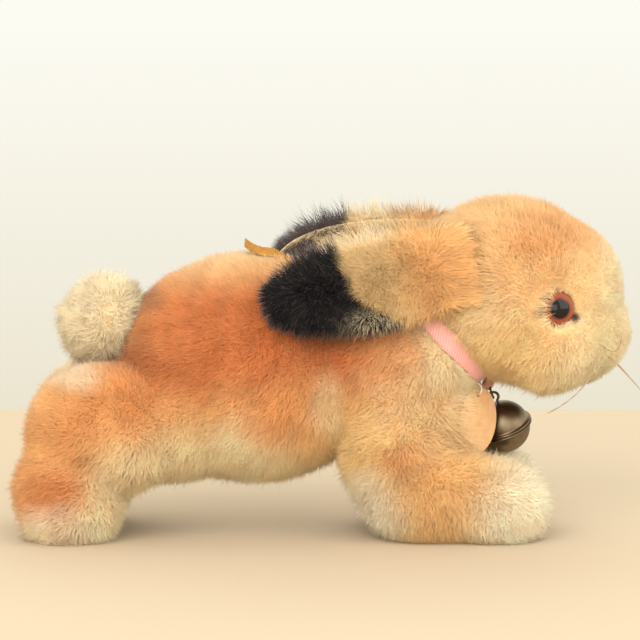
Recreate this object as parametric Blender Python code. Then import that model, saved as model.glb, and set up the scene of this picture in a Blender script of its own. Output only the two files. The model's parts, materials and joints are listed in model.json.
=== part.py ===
"""Jointed mohair running rabbit with a neck bell, modelled as the separate pieces it is sewn and pinned from.

Design values are in millimetres in the toy's own frame: X towards the nose, Y towards its left side, Z up,
ground at Z = 0. MM turns them into metres when a mesh is made, and FRAME_SHIFT centres the toy on the origin.
"""

import math

import bmesh
import bpy
from mathutils import Matrix, Vector
from mathutils.bvhtree import BVHTree

MM = 0.001

# Driving dimensions, in millimetres.
GAP = 0.3                # clearance kept between two neighbouring pieces
FABRIC = 1.2             # woven backing of the mohair plush
LINING = 0.8             # velvet that lines the ears
SHORTEST_EDGE = 0.6      # of the skins' facets
FRAME_SHIFT = -3.1       # moves the middle of the whole toy onto X = 0

NECK_CENTRE = Vector((31.5, 0.0, 57.5))
NECK_TILT = math.radians(43.0)
NECK_AXIS = Vector((math.cos(NECK_TILT), 0.0, math.sin(NECK_TILT)))
THROAT = Vector((math.sin(NECK_TILT), 0.0, -math.cos(NECK_TILT)))
NECK_RADIUS = 18.3
NECK_BAND = 3.4          # half length of the narrow band that the ribbon sits in
NECK_JOINT_GAP = 0.5     # from the joint's plane to each fabric rim
DISC_RADIUS = 15.8
DISC_THICKNESS = 2.0
WASHER_RADIUS = 5.0
WASHER_THICKNESS = 0.8
PIN_WIRE = 0.6
PIN_HOLE = 1.7

SEAM_HALF_WIDTH = 12.0   # half width of the belly gusset and of the head gusset
BELLY_SEAM_HEIGHT = 24.0
HEAD_SEAM_HEIGHT = 64.0

RIBBON_WIDTH = 5.4
RIBBON_THICKNESS = 0.5
RIBBON_INNER_RADIUS = NECK_RADIUS + 1.0

EYE_RADIUS = 5.0
EYE_DEPTH = 3.2
EYE_SPOT = (63.0, 63.6)  # X and Z of the eye's middle
EYE_TURN = math.radians(14.0)
EYE_RISE = 0.06          # slope by which the eye looks up
EYE_SINK = 0.8           # from the fabric's face down to the widest part of the glass
SHANK_RADIUS = 1.4
SHANK_WIRE = 0.35

NOSE_TOP = 60.0
NOSE_BOTTOM = 55.8
NOSE_HALF_WIDTH = 3.3
NOSE_TIP_HALF_WIDTH = 0.7
NOSE_THICKNESS = 0.8
MOUTH_HEIGHT = 52.6
MOUTH_HALF_WIDTH = 4.6
MOUTH_DROOP = 2.2
MOUTH_THREAD = 0.35
WHISKER_THREAD = 0.16
# Each whisker of one side: root (X, Z) on the muzzle, then its middle and tip control points.
WHISKERS = {
    "lower": ((74.0, 51.0), (73.0, 17.0, 41.0), (60.5, 21.0, 35.5)),
    "upper": ((75.0, 53.5), (80.0, 17.0, 49.0), (80.5, 18.0, 56.0)),
    "front": ((76.5, 50.5), (81.0, 12.0, 47.0), (87.5, 16.0, 39.5)),
}

BELL_CENTRE = Vector((50.6, 7.4, 28.0))
BELL_PIVOT = Vector((47.4, 4.8, 36.5))
BELL_RADIUS = 7.3
BELL_WALL = 0.5
BELL_FLANGE_RADIUS = 8.1
BELL_FLANGE_THICKNESS = 0.5
BELL_SLOT = (10.0, 1.1)  # length and width of the slot in the lower shell
BELL_LOOP_WIRE = 0.4
PELLET_RADIUS = 1.9
RING_RADIUS = 2.2
RING_WIRE = 0.35
KNOT_RADII = (1.6, 2.6, 1.7)

CHEST_TAG_CENTRE = Vector((42.2, -8.6, 31.8))
CHEST_TAG_RADIUS = 9.0
CHEST_TAG_THICKNESS = 0.8
CHEST_TAG_TURN = math.radians(-37.0)
CHEST_TAG_HOLE = 0.8
CHEST_THREAD_RADIUS = 1.5
CHEST_THREAD = 0.25

EAR_ROOT = Vector((38.0, 21.4, 75.5))
EAR_TIP_RIGHT = Vector((-15.0, -27.0, 65.0))
EAR_TIP_LEFT = Vector((-12.5, 27.0, 73.0))
EAR_HALF_WIDTH = 11.0
EAR_UPPER_FOLD = 2.6     # how far the upper edge folds in over the back
EAR_LOWER_FLARE = 0.8

CLOTH_TAG_ENDS = (-21.5, -5.5)   # X of the free end and of the sewn end
CLOTH_TAG_HALF_WIDTH = 3.0
CLOTH_TAG_THICKNESS = 0.4
CLOTH_TAG_LIFT = 2.7     # height of the free part above the fabric, over the pile
CLOTH_TAG_CURL = 2.6     # extra height of the curled free end
CLOTH_TAG_CURL_SHARE = 0.35
CLOTH_TAG_ROLL = 0.28    # slope of the flag across its width

TAIL_CENTRE = Vector((-59.8, 0.0, 58.4))
TAIL_RADII = Vector((9.4, 9.6, 10.2))
TAIL_DIRECTION = Vector((-0.85, 0.0, 0.52)).normalized()

# Colours of the pieces: linear RGB, roughness, metallic.
MOHAIR_GOLD = ((0.72, 0.42, 0.20), 0.9, 0.0)
MOHAIR_RUST = ((0.60, 0.22, 0.08), 0.9, 0.0)
MOHAIR_CREAM = ((0.80, 0.58, 0.34), 0.9, 0.0)
VELVET = ((0.78, 0.60, 0.33), 0.8, 0.0)
WOOD_WOOL = ((0.62, 0.50, 0.32), 0.95, 0.0)
CARDBOARD = ((0.36, 0.24, 0.14), 0.85, 0.0)
TAG_CARD = ((0.80, 0.52, 0.30), 0.55, 0.0)
STEEL = ((0.45, 0.44, 0.42), 0.35, 1.0)
BRONZE = ((0.09, 0.065, 0.045), 0.32, 1.0)
SATIN = ((0.82, 0.36, 0.36), 0.45, 0.0)
GLASS_EYE = ((0.42, 0.11, 0.05), 0.05, 0.0)
THREAD_PINK = ((0.75, 0.38, 0.33), 0.6, 0.0)
THREAD_BROWN = ((0.16, 0.09, 0.05), 0.5, 0.0)
COTTON = ((0.80, 0.76, 0.66), 0.8, 0.0)
OCHRE = ((0.62, 0.38, 0.06), 0.7, 0.0)


def clear_scene():
    for obj in list(bpy.data.objects):
        bpy.data.objects.remove(obj, do_unlink=True)


def material(name, look):
    colour, roughness, metallic = look
    mat = bpy.data.materials.new(name)
    mat.use_nodes = True
    shader = mat.node_tree.nodes["Principled BSDF"]
    shader.inputs["Base Color"].default_value = (*colour, 1.0)
    shader.inputs["Roughness"].default_value = roughness
    shader.inputs["Metallic"].default_value = metallic
    mat.diffuse_color = (*colour, 1.0)
    return mat


def object_from(bm, name, look=None):
    """A named object from a bmesh drawn in millimetres; without a look it is a tool to remove after use."""
    bmesh.ops.recalc_face_normals(bm, faces=bm.faces)
    mesh = bpy.data.meshes.new(name)
    bm.to_mesh(mesh)
    bm.free()
    obj = bpy.data.objects.new(name, mesh)
    bpy.context.scene.collection.objects.link(obj)
    if look:
        mesh.materials.append(material(name, look))
        mesh.shade_smooth()
        mesh.set_sharp_from_angle(angle=math.radians(40.0))
    return obj


def bmesh_of(obj):
    bm = bmesh.new()
    bm.from_mesh(obj.data)
    return bm


def bake(obj):
    """Replace an object's mesh by what its modifiers make of it."""
    bpy.context.view_layer.update()
    depsgraph = bpy.context.evaluated_depsgraph_get()
    old = obj.data
    obj.data = bpy.data.meshes.new_from_object(obj.evaluated_get(depsgraph))
    obj.modifiers.clear()
    bpy.data.meshes.remove(old)


def boolean(obj, tool, operation="DIFFERENCE"):
    modifier = obj.modifiers.new("cut", "BOOLEAN")
    modifier.operation = operation
    modifier.solver = "EXACT"
    modifier.object = tool
    bake(obj)


def remove(*objects):
    for obj in objects:
        bpy.data.objects.remove(obj, do_unlink=True)


def frame_matrix(place, up, ahead=Vector((1.0, 0.0, 0.0))):
    """A placement whose Z is `up` and whose X is as near `ahead` as it can be."""
    z_axis = up.normalized()
    y_axis = z_axis.cross(ahead).normalized()
    x_axis = y_axis.cross(z_axis)
    turn = Matrix((x_axis, y_axis, z_axis)).transposed().to_4x4()
    return Matrix.Translation(place) @ turn


def box(name, low, high):
    bm = bmesh.new()
    size = Vector(high) - Vector(low)
    middle = (Vector(high) + Vector(low)) / 2.0
    bmesh.ops.create_cube(bm, size=1.0, matrix=Matrix.Translation(middle) @ Matrix.Diagonal((*size, 1.0)))
    return object_from(bm, name)


def cylinder(name, radius, bottom, top, placement, look=None, sides=32):
    bm = bmesh.new()
    matrix = placement @ Matrix.Translation((0.0, 0.0, (bottom + top) / 2.0))
    bmesh.ops.create_cone(bm, cap_ends=True, segments=sides, radius1=radius, radius2=radius,
                          depth=top - bottom, matrix=matrix)
    return object_from(bm, name, look)


def ellipsoid(name, radii, placement, look=None, columns=24, rows=14):
    bm = bmesh.new()
    matrix = placement @ Matrix.Diagonal((*radii, 1.0))
    bmesh.ops.create_uvsphere(bm, u_segments=columns, v_segments=rows, radius=1.0, matrix=matrix)
    return object_from(bm, name, look)


def turned(name, profile, placement, look, steps=22):
    """A closed ring profile of (radius, height) points turned about the placement's Z."""
    bm = bmesh.new()
    rings = []
    for step in range(steps):
        angle = 2.0 * math.pi * step / steps
        turn = (math.cos(angle), math.sin(angle))
        rings.append([bm.verts.new(placement @ Vector((r * turn[0], r * turn[1], z))) for r, z in profile])
    for step in range(steps):
        here, there = rings[step], rings[(step + 1) % steps]
        for i in range(len(profile)):
            j = (i + 1) % len(profile)
            bm.faces.new((here[i], here[j], there[j], there[i]))
    return object_from(bm, name, look)


def tube(name, points, radius, look, sides=6):
    """A round thread or wire along a path, closed at both ends."""
    bm = bmesh.new()
    side = Vector((0.0, 0.0, 1.0))
    rings = []
    for i, point in enumerate(points):
        before = points[max(i - 1, 0)]
        after = points[min(i + 1, len(points) - 1)]
        along = (after - before).normalized()
        if abs(along.dot(side)) > 0.97:
            side = Vector((0.0, 1.0, 0.0))
        side = (side - along * side.dot(along)).normalized()
        other = along.cross(side)
        angles = [2.0 * math.pi * k / sides for k in range(sides)]
        rings.append([bm.verts.new(point + side * (radius * math.cos(a)) + other * (radius * math.sin(a)))
                      for a in angles])
    for here, there in zip(rings, rings[1:]):
        for k in range(sides):
            n = (k + 1) % sides
            bm.faces.new((here[k], here[n], there[n], there[k]))
    bm.faces.new(rings[0])
    bm.faces.new(rings[-1])
    return object_from(bm, name, look)


def ring_of_wire(name, centre, plane_x, plane_y, radius, wire, look, steps=16, sides=6):
    """A closed wire ring in the plane of two unit vectors."""
    bm = bmesh.new()
    normal = plane_x.cross(plane_y)
    rings = []
    for step in range(steps):
        angle = 2.0 * math.pi * step / steps
        outward = plane_x * math.cos(angle) + plane_y * math.sin(angle)
        turns = [2.0 * math.pi * k / sides for k in range(sides)]
        rings.append([bm.verts.new(centre + outward * (radius + wire * math.cos(turn))
                                   + normal * (wire * math.sin(turn))) for turn in turns])
    for step in range(steps):
        here, there = rings[step], rings[(step + 1) % steps]
        for k in range(sides):
            n = (k + 1) % sides
            bm.faces.new((here[k], here[n], there[n], there[k]))
    return object_from(bm, name, look)


def arc(centre, x_axis, y_axis, radius, first, last, steps):
    """Points on a circle between two angles in degrees."""
    points = []
    for step in range(steps + 1):
        angle = math.radians(first + (last - first) * step / steps)
        points.append(centre + (x_axis * math.cos(angle) + y_axis * math.sin(angle)) * radius)
    return points


def split_pin_path(eye, along, across, eye_radius, leg, half_spread, foot):
    """Wire of a split pin: a foot, a leg, round the eye, the other leg and the other foot."""
    opening = math.degrees(math.asin(half_spread / eye_radius))
    loop = arc(eye, across, along, eye_radius, 270.0 + opening, 630.0 - opening, 14)
    right = [eye + across * half_spread - along * leg, eye + across * (half_spread + foot) - along * leg]
    left = [eye - across * half_spread - along * leg, eye - across * (half_spread + foot) - along * leg]
    return [right[1], right[0]] + loop + [left[0], left[1]]


# Stuffed forms -----------------------------------------------------------------------------------

def both_sides(centre, radii):
    x, y, z = centre
    return [((x, y, z), radii), ((x, -y, z), radii)]


BODY_MASSES = [
    ((-19.0, 0.0, 46.0), (36.0, 23.0, 28.8)),    # barrel
    ((-42.0, 0.0, 32.5), (20.0, 19.5, 15.5)),    # loin and lower belly
    ((-57.0, 0.0, 31.0), (19.5, 18.0, 14.8)),    # rump
    ((12.0, 0.0, 51.0), (24.0, 20.5, 23.0)),     # shoulders
    ((20.0, 0.0, 37.5), (21.2, 19.0, 18.3)),     # chest
    ((25.5, 0.0, 52.0), (20.0, 20.0, 20.0)),     # neck
] + both_sides((-59.6, 13.5, 29.8), (18.2, 12.0, 16.0)) \
  + both_sides((-68.8, 15.0, 12.3), (12.6, 10.0, 14.8)) \
  + both_sides((20.0, 11.5, 24.0), (12.8, 11.0, 16.5)) \
  + both_sides((30.0, 13.5, 11.6), (17.2, 10.3, 12.2)) \
  + both_sides((46.6, 13.8, 8.8), (12.4, 9.6, 10.6))

HEAD_MASSES = [
    ((51.0, 0.0, 65.9), (26.0, 22.0, 24.2)),     # skull
    ((63.5, 0.0, 66.8), (17.6, 17.5, 18.6)),     # forehead
    ((67.0, 0.0, 56.2), (16.4, 14.5, 14.6)),     # muzzle
    ((37.3, 0.0, 63.0), (20.0, 20.0, 20.0)),     # neck
] + both_sides((61.0, 9.0, 54.8), (15.6, 11.5, 13.2))


def neck_coordinates(point):
    """Height along the neck axis, and the offset square to it."""
    offset = point - NECK_CENTRE
    along = offset.dot(NECK_AXIS)
    return along, offset - NECK_AXIS * along


def pinch_neck(bm):
    """Draw the fabric in to the neck's radius where the ribbon ties it."""
    for vert in bm.verts:
        along, across = neck_coordinates(vert.co)
        limit = NECK_RADIUS + 1.3 * max(0.0, abs(along) - NECK_BAND)
        if across.length > limit and abs(along) < 3.0 * NECK_BAND:
            vert.co = NECK_CENTRE + NECK_AXIS * along + across * (limit / across.length)


def stuffed_form(masses, triangles, voxel=1.4, rounds=10):
    """One smooth closed surface over overlapping masses, symmetric about Y = 0."""
    bm = bmesh.new()
    for centre, radii in masses:
        matrix = Matrix.Translation(centre) @ Matrix.Diagonal((*radii, 1.0))
        bmesh.ops.create_icosphere(bm, subdivisions=4, radius=1.0, matrix=matrix)
    obj = object_from(bm, "form")
    remesh = obj.modifiers.new("remesh", "REMESH")
    remesh.mode = "VOXEL"
    remesh.voxel_size = voxel
    smooth = obj.modifiers.new("smooth", "SMOOTH")
    smooth.factor = 0.5
    smooth.iterations = rounds
    bake(obj)
    bm = bmesh_of(obj)
    pinch_neck(bm)
    bm.to_mesh(obj.data)
    bm.free()
    count = sum(len(face.vertices) - 2 for face in obj.data.polygons)
    decimate = obj.modifiers.new("decimate", "DECIMATE")
    decimate.ratio = triangles / count
    bake(obj)
    bm = bmesh_of(obj)
    geometry = bm.verts[:] + bm.edges[:] + bm.faces[:]
    bmesh.ops.symmetrize(bm, input=geometry, direction="-Y", dist=1e-4)
    bmesh.ops.remove_doubles(bm, verts=bm.verts, dist=SHORTEST_EDGE)
    bmesh.ops.dissolve_degenerate(bm, edges=bm.edges, dist=0.2 * SHORTEST_EDGE)
    bmesh.ops.triangulate(bm, faces=bm.faces)
    bm.to_mesh(obj.data)
    bm.free()
    return obj


def slice_off(bm, point, outward):
    """Cut away what lies past a plane and close the cut with flat faces."""
    geometry = bm.verts[:] + bm.edges[:] + bm.faces[:]
    bmesh.ops.bisect_plane(bm, geom=geometry, dist=1e-4, plane_co=point, plane_no=outward, clear_outer=True)
    rim = [edge for edge in bm.edges if edge.is_boundary]
    bmesh.ops.holes_fill(bm, edges=rim, sides=0)


def layer(form, name, inset, planes, look=None):
    """A copy of a form moved in by `inset` along its normals and trimmed at the planes."""
    bm = bmesh.new()
    bm.from_mesh(form.data)
    bm.normal_update()
    moves = [(vert, vert.normal * inset) for vert in bm.verts]
    for vert, move in moves:
        vert.co -= move
    for point, outward in planes:
        slice_off(bm, point, outward)
    return object_from(bm, name, look)


def panel(name, outer, inner, look, keep, notch=None):
    """The part of a skin that lies in the box `keep` and outside the box `notch`."""
    obj = object_from(bmesh_of(outer), name, look)
    tool = box("keep", *keep)
    boolean(obj, tool, "INTERSECT")
    remove(tool)
    if notch:
        tool = box("notch", *notch)
        boolean(obj, tool)
        remove(tool)
    boolean(obj, inner)
    return obj


def seam_boxes(low, high, notch_low, notch_high):
    """Boxes for a left panel, a right panel, the gusset between them and the gusset's notch."""
    half = GAP / 2.0
    width = SEAM_HALF_WIDTH
    left = ((low[0], half, low[2]), high)
    right = (low, (high[0], -half, high[2]))
    gusset = ((low[0], -width + half, notch_low + half), (high[0], width - half, notch_high - half))
    notch = ((low[0], -width - half, notch_low - half), (high[0], width + half, notch_high + half))
    return left, right, gusset, notch


# Body --------------------------------------------------------------------------------------------

def neck_plane(offset, outward):
    """A trimming plane square to the neck axis, `offset` towards the head."""
    return NECK_CENTRE + NECK_AXIS * offset, NECK_AXIS * outward


def ground_plane(height):
    return Vector((0.0, 0.0, height)), Vector((0.0, 0.0, -1.0))


def make_body():
    form = stuffed_form(BODY_MASSES, 1000)
    outer = layer(form, "outer", 0.0, [ground_plane(0.0), neck_plane(-NECK_JOINT_GAP, 1.0)])
    inner = layer(form, "inner", FABRIC, [ground_plane(FABRIC), neck_plane(NECK_JOINT_GAP, 1.0)])
    reach = 120.0
    boxes = seam_boxes((-reach, -reach, -5.0), (reach, reach, reach), -5.0, BELLY_SEAM_HEIGHT)
    left, right, gusset, notch = boxes
    pieces = [
        panel("body_side_left", outer, inner, MOHAIR_RUST, left, notch),
        panel("body_side_right", outer, inner, MOHAIR_RUST, right, notch),
        panel("belly_gusset", outer, inner, MOHAIR_CREAM, gusset),
    ]
    recess = NECK_JOINT_GAP + DISC_THICKNESS + WASHER_THICKNESS + 4.0 * GAP
    stuffing = layer(form, "body_stuffing", FABRIC + GAP,
                     [ground_plane(FABRIC + GAP), neck_plane(-recess, 1.0)], WOOD_WOOL)
    pocket = cylinder("pocket", WASHER_RADIUS + 1.0, -recess - 6.0, 0.0, frame_matrix(NECK_CENTRE, NECK_AXIS))
    boolean(stuffing, pocket)
    remove(pocket, inner)
    return pieces + [stuffing], outer


def tail_ball(name, inset, base, look=None):
    """The tail's round form, smaller by `inset`, with a flat base through the point `base`."""
    radii = TAIL_RADII - Vector((inset, inset, inset))
    ball = ellipsoid("ball", radii, Matrix.Translation(TAIL_CENTRE), None, 18, 11)
    bm = bmesh_of(ball)
    remove(ball)
    slice_off(bm, base, -TAIL_DIRECTION)
    return object_from(bm, name, look)


def make_tail(rump):
    """A round puff whose open flat base is sewn to the rump."""
    tree = BVHTree.FromObject(rump, bpy.context.evaluated_depsgraph_get())
    base = tree.ray_cast(TAIL_CENTRE, -TAIL_DIRECTION)[0] + TAIL_DIRECTION * 2.0 * GAP
    cover = tail_ball("tail_cover", 0.0, base, MOHAIR_CREAM)
    hollow = tail_ball("hollow", FABRIC, base - TAIL_DIRECTION)
    boolean(cover, hollow)
    remove(hollow)
    return [cover, tail_ball("tail_stuffing", FABRIC + GAP, base + TAIL_DIRECTION * GAP, COTTON)]


def make_neck_disc(prefix, direction):
    """Cardboard disc and steel washer of one half of the neck joint."""
    placement = frame_matrix(NECK_CENTRE, NECK_AXIS * direction)
    disc_low = NECK_JOINT_GAP + GAP
    disc_high = disc_low + DISC_THICKNESS
    disc = cylinder(prefix + "_neck_disc", DISC_RADIUS, disc_low, disc_high, placement, CARDBOARD, 40)
    washer_low = disc_high + GAP
    washer = cylinder(prefix + "_neck_washer", WASHER_RADIUS, washer_low, washer_low + WASHER_THICKNESS,
                      placement, STEEL, 24)
    hole = cylinder("hole", PIN_HOLE, -5.0, 12.0, placement, None, 20)
    boolean(disc, hole)
    boolean(washer, hole)
    remove(hole)
    return [disc, washer]


def make_cotter_pin():
    """Split pin through both discs: its eye is in the head, its feet are bent over in the body."""
    stack = NECK_JOINT_GAP + DISC_THICKNESS + WASHER_THICKNESS + 2.0 * GAP
    eye_radius = 1.9
    eye = NECK_CENTRE + NECK_AXIS * (stack + eye_radius + PIN_WIRE)
    leg = 2.0 * stack + eye_radius + 3.0 * PIN_WIRE + GAP
    path = split_pin_path(eye, NECK_AXIS, Vector((0.0, 1.0, 0.0)), eye_radius, leg, PIN_WIRE + 0.12, 2.2)
    return tube("neck_cotter_pin", path, PIN_WIRE, STEEL)


def make_ribbon():
    placement = frame_matrix(NECK_CENTRE, NECK_AXIS)
    half = RIBBON_WIDTH / 2.0
    inner, outer = RIBBON_INNER_RADIUS, RIBBON_INNER_RADIUS + RIBBON_THICKNESS
    profile = [(inner, -half), (outer, -half), (outer, half), (inner, half)]
    return turned("ribbon_collar", profile, placement, SATIN, 48)


def bell_frame():
    """Bell axis, pointing up to its loop, and the hinge axis square to it and nearest to Y."""
    axis = (BELL_PIVOT - BELL_CENTRE).normalized()
    across = Vector((0.0, 1.0, 0.0))
    hinge = (across - axis * across.dot(axis)).normalized()
    return axis, hinge


def make_ribbon_knot():
    """Knot of the ribbon at the throat, pierced for the ring that the bell hangs from."""
    axis, hinge = bell_frame()
    ring_centre = BELL_PIVOT + axis * RING_RADIUS
    knot_centre = ring_centre + axis * RING_RADIUS
    placement = frame_matrix(knot_centre, axis, THROAT)
    knot = ellipsoid("ribbon_knot", KNOT_RADII, placement, SATIN, 14, 8)
    tunnel = ring_of_wire("tunnel", ring_centre, hinge, axis, RING_RADIUS, RING_WIRE + GAP, None)
    boolean(knot, tunnel)
    remove(tunnel)
    ring = ring_of_wire("bell_jump_ring", ring_centre, hinge, axis, RING_RADIUS, RING_WIRE, STEEL)
    return [knot, ring]


def make_cloth_tag(back):
    """A narrow cloth flag sewn into the seam of the back, its free end curled up."""
    tree = BVHTree.FromObject(back, bpy.context.evaluated_depsgraph_get())
    bm = bmesh.new()
    first, last = CLOTH_TAG_ENDS
    columns = 10
    rows = []
    for i in range(columns + 1):
        share = i / columns
        x = first + (last - first) * share
        z = tree.ray_cast(Vector((x, 0.0, 200.0)), Vector((0.0, 0.0, -1.0)))[0].z
        free = min(1.0, 2.0 * (1.0 - share))
        curl = max(0.0, 1.0 - share / CLOTH_TAG_CURL_SHARE) ** 2
        lift = GAP + CLOTH_TAG_LIFT * free + CLOTH_TAG_CURL * curl
        rows.append([bm.verts.new((x, y, z + lift + CLOTH_TAG_ROLL * y * free))
                     for y in (-CLOTH_TAG_HALF_WIDTH, 0.0, CLOTH_TAG_HALF_WIDTH)])
    for here, there in zip(rows, rows[1:]):
        for k in range(2):
            bm.faces.new((here[k], there[k], there[k + 1], here[k + 1]))
    return solidified(bm, "cloth_tag", CLOTH_TAG_THICKNESS, 1.0, OCHRE)


def solidified(bm, name, thickness, offset, look):
    obj = object_from(bm, name, look)
    modifier = obj.modifiers.new("solidify", "SOLIDIFY")
    modifier.thickness = thickness
    modifier.offset = offset
    modifier.use_even_offset = True
    bake(obj)
    return obj


# Head --------------------------------------------------------------------------------------------

def make_head():
    form = stuffed_form(HEAD_MASSES, 540)
    outer = layer(form, "outer", 0.0, [neck_plane(NECK_JOINT_GAP, -1.0)])
    inner = layer(form, "inner", FABRIC, [neck_plane(-NECK_JOINT_GAP, -1.0)])
    reach = 120.0
    boxes = seam_boxes((-reach, -reach, -5.0), (reach, reach, reach), HEAD_SEAM_HEIGHT, reach)
    left, right, gusset, notch = boxes
    sides = [
        panel("head_side_left", outer, inner, MOHAIR_GOLD, left, notch),
        panel("head_side_right", outer, inner, MOHAIR_GOLD, right, notch),
    ]
    gusset = panel("head_gusset", outer, inner, MOHAIR_GOLD, gusset)
    recess = NECK_JOINT_GAP + DISC_THICKNESS + WASHER_THICKNESS + 4.0 * GAP
    stuffing = layer(form, "head_stuffing", FABRIC + GAP, [neck_plane(recess, -1.0)], WOOD_WOOL)
    pocket = cylinder("pocket", WASHER_RADIUS + 1.0, 0.0, recess + 6.0, frame_matrix(NECK_CENTRE, NECK_AXIS))
    boolean(stuffing, pocket)
    remove(pocket, inner)
    return sides, gusset, stuffing, outer


def make_eye(side, surface, skins):
    """A glass eye set in its socket, with the wire shank that holds it."""
    name = "left" if side > 0 else "right"
    tree = BVHTree.FromObject(surface, bpy.context.evaluated_depsgraph_get())
    start = Vector((EYE_SPOT[0], 100.0 * side, EYE_SPOT[1]))
    spot = tree.ray_cast(start, Vector((0.0, -side, 0.0)))[0]
    outward = Vector((math.sin(EYE_TURN), side * math.cos(EYE_TURN), EYE_RISE)).normalized()
    placement = frame_matrix(spot - outward * EYE_SINK, outward)
    glass = ellipsoid("eye_glass_" + name, (EYE_RADIUS, EYE_RADIUS, EYE_DEPTH), placement, GLASS_EYE, 20, 10)
    loop_centre = spot - outward * (EYE_SINK + EYE_DEPTH + GAP + SHANK_WIRE + SHANK_RADIUS)
    up = Vector((0.0, 0.0, 1.0))
    shank = ring_of_wire("eye_shank_" + name, loop_centre, outward, up, SHANK_RADIUS, SHANK_WIRE, STEEL)
    grown = Vector((EYE_RADIUS, EYE_RADIUS, EYE_DEPTH)) + Vector((GAP, GAP, GAP))
    socket = ellipsoid("socket", grown, placement, None, 20, 8)
    room = SHANK_RADIUS + SHANK_WIRE + GAP
    channel = cylinder("channel", room + GAP, -EYE_DEPTH - 2.0 * room - 2.0 * GAP, 0.0, placement, None, 10)
    for skin in skins:
        boolean(skin, socket)
        boolean(skin, channel)
    remove(socket, channel)
    return [glass, shank]


def face_point(tree, y, z, stand_off):
    """A point just in front of the muzzle at a given width and height."""
    hit, normal, _, _ = tree.ray_cast(Vector((200.0, y, z)), Vector((-1.0, 0.0, 0.0)))
    return hit + normal * stand_off


def make_nose(surface):
    """Satin-stitched nose: an inverted triangle of thread that follows the muzzle."""
    tree = BVHTree.FromObject(surface, bpy.context.evaluated_depsgraph_get())
    bm = bmesh.new()
    rows = []
    for i in range(5):
        share = i / 4.0
        z = NOSE_TOP + (NOSE_BOTTOM - NOSE_TOP) * share
        width = NOSE_HALF_WIDTH * (1.0 - share) + NOSE_TIP_HALF_WIDTH * share
        rows.append([bm.verts.new(face_point(tree, width * k, z, GAP)) for k in (-1.0, -0.5, 0.0, 0.5, 1.0)])
    for here, there in zip(rows, rows[1:]):
        for k in range(4):
            bm.faces.new((here[k], there[k], there[k + 1], here[k + 1]))
    return solidified(bm, "nose_stitching", NOSE_THICKNESS, 1.0, THREAD_PINK)


def make_mouth(surface):
    """One curved thread for the mouth, under the nose."""
    tree = BVHTree.FromObject(surface, bpy.context.evaluated_depsgraph_get())
    points = []
    for i in range(13):
        share = i / 6.0 - 1.0
        height = MOUTH_HEIGHT - MOUTH_DROOP * abs(share) ** 1.5
        points.append(face_point(tree, MOUTH_HALF_WIDTH * share, height, GAP + MOUTH_THREAD))
    return tube("mouth_stitching", points, MOUTH_THREAD, THREAD_PINK)


def make_whisker(name, side, surface, root, middle, tip):
    """A stiff thread that leaves the muzzle beside the nose; the three points are its control points."""
    tree = BVHTree.FromObject(surface, bpy.context.evaluated_depsgraph_get())
    start = Vector((root[0], 60.0 * side, root[1]))
    hit, normal, _, _ = tree.ray_cast(start, Vector((0.0, -side, 0.0)))
    begin = hit + normal * (GAP + WHISKER_THREAD)
    bend = Vector((middle[0], side * middle[1], middle[2]))
    end = Vector((tip[0], side * tip[1], tip[2]))
    points = []
    for i in range(9):
        t = i / 8.0
        points.append(begin * (1.0 - t) ** 2 + bend * (2.0 * t * (1.0 - t)) + end * t ** 2)
    return tube(name, points, WHISKER_THREAD, THREAD_BROWN)


def make_whiskers(surface):
    return [make_whisker(f"whisker_{where}_{name}", side, surface, *points)
            for side, name in ((1.0, "left"), (-1.0, "right"))
            for where, points in WHISKERS.items()]


# Ears --------------------------------------------------------------------------------------------

def ear_half_width(share):
    """Half width of the ear at a share of its length: broad, with a rounded tip."""
    widest, root_share = 0.42, 0.88
    if share < widest:
        return EAR_HALF_WIDTH * (root_share + (1.0 - root_share) * math.sin(0.5 * math.pi * share / widest))
    return EAR_HALF_WIDTH * math.sqrt(1.0 - ((share - widest) / (1.0 - widest)) ** 2)


def ear_frame(side):
    root = Vector((EAR_ROOT.x, EAR_ROOT.y * side, EAR_ROOT.z))
    tip = EAR_TIP_LEFT if side > 0 else EAR_TIP_RIGHT
    length = (tip - root).length
    along = (tip - root) / length
    up = Vector((0.0, 0.0, 1.0))
    across = (up - along * up.dot(along)).normalized()
    outward = along.cross(across) * side
    return root, along, across, outward, length


def make_ear_sheet(name, side, stand_off, thickness, look, margin=0.0):
    """One fabric leaf of an ear; its upper edge folds in over the back."""
    root, along, across, outward, length = ear_frame(side)
    bm = bmesh.new()
    rows = []
    for i in range(11):
        share = 0.985 * math.sin(0.5 * math.pi * i / 10.0)
        width = ear_half_width(share) - margin
        row = []
        for k in range(7):
            v = k / 3.0 - 1.0
            fold = EAR_LOWER_FLARE * max(0.0, -v) ** 2 - EAR_UPPER_FOLD * max(0.0, v) ** 2
            place = root + along * (length * share) + across * (width * v) + outward * (stand_off + fold)
            row.append(bm.verts.new(place))
        rows.append(row)
    for here, there in zip(rows, rows[1:]):
        for k in range(6):
            bm.faces.new((here[k], here[k + 1], there[k + 1], there[k]))
    return solidified(bm, name, thickness, 0.0, look)


def make_ear(side):
    name = "left" if side > 0 else "right"
    outer = make_ear_sheet("ear_outer_" + name, side, FABRIC / 2.0 + 3.0 * GAP, FABRIC, MOHAIR_GOLD)
    lining = make_ear_sheet("ear_lining_" + name, side, -LINING / 2.0, LINING, VELVET, 0.6)
    return [outer, lining]


# Bell and chest tag ------------------------------------------------------------------------------

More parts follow.
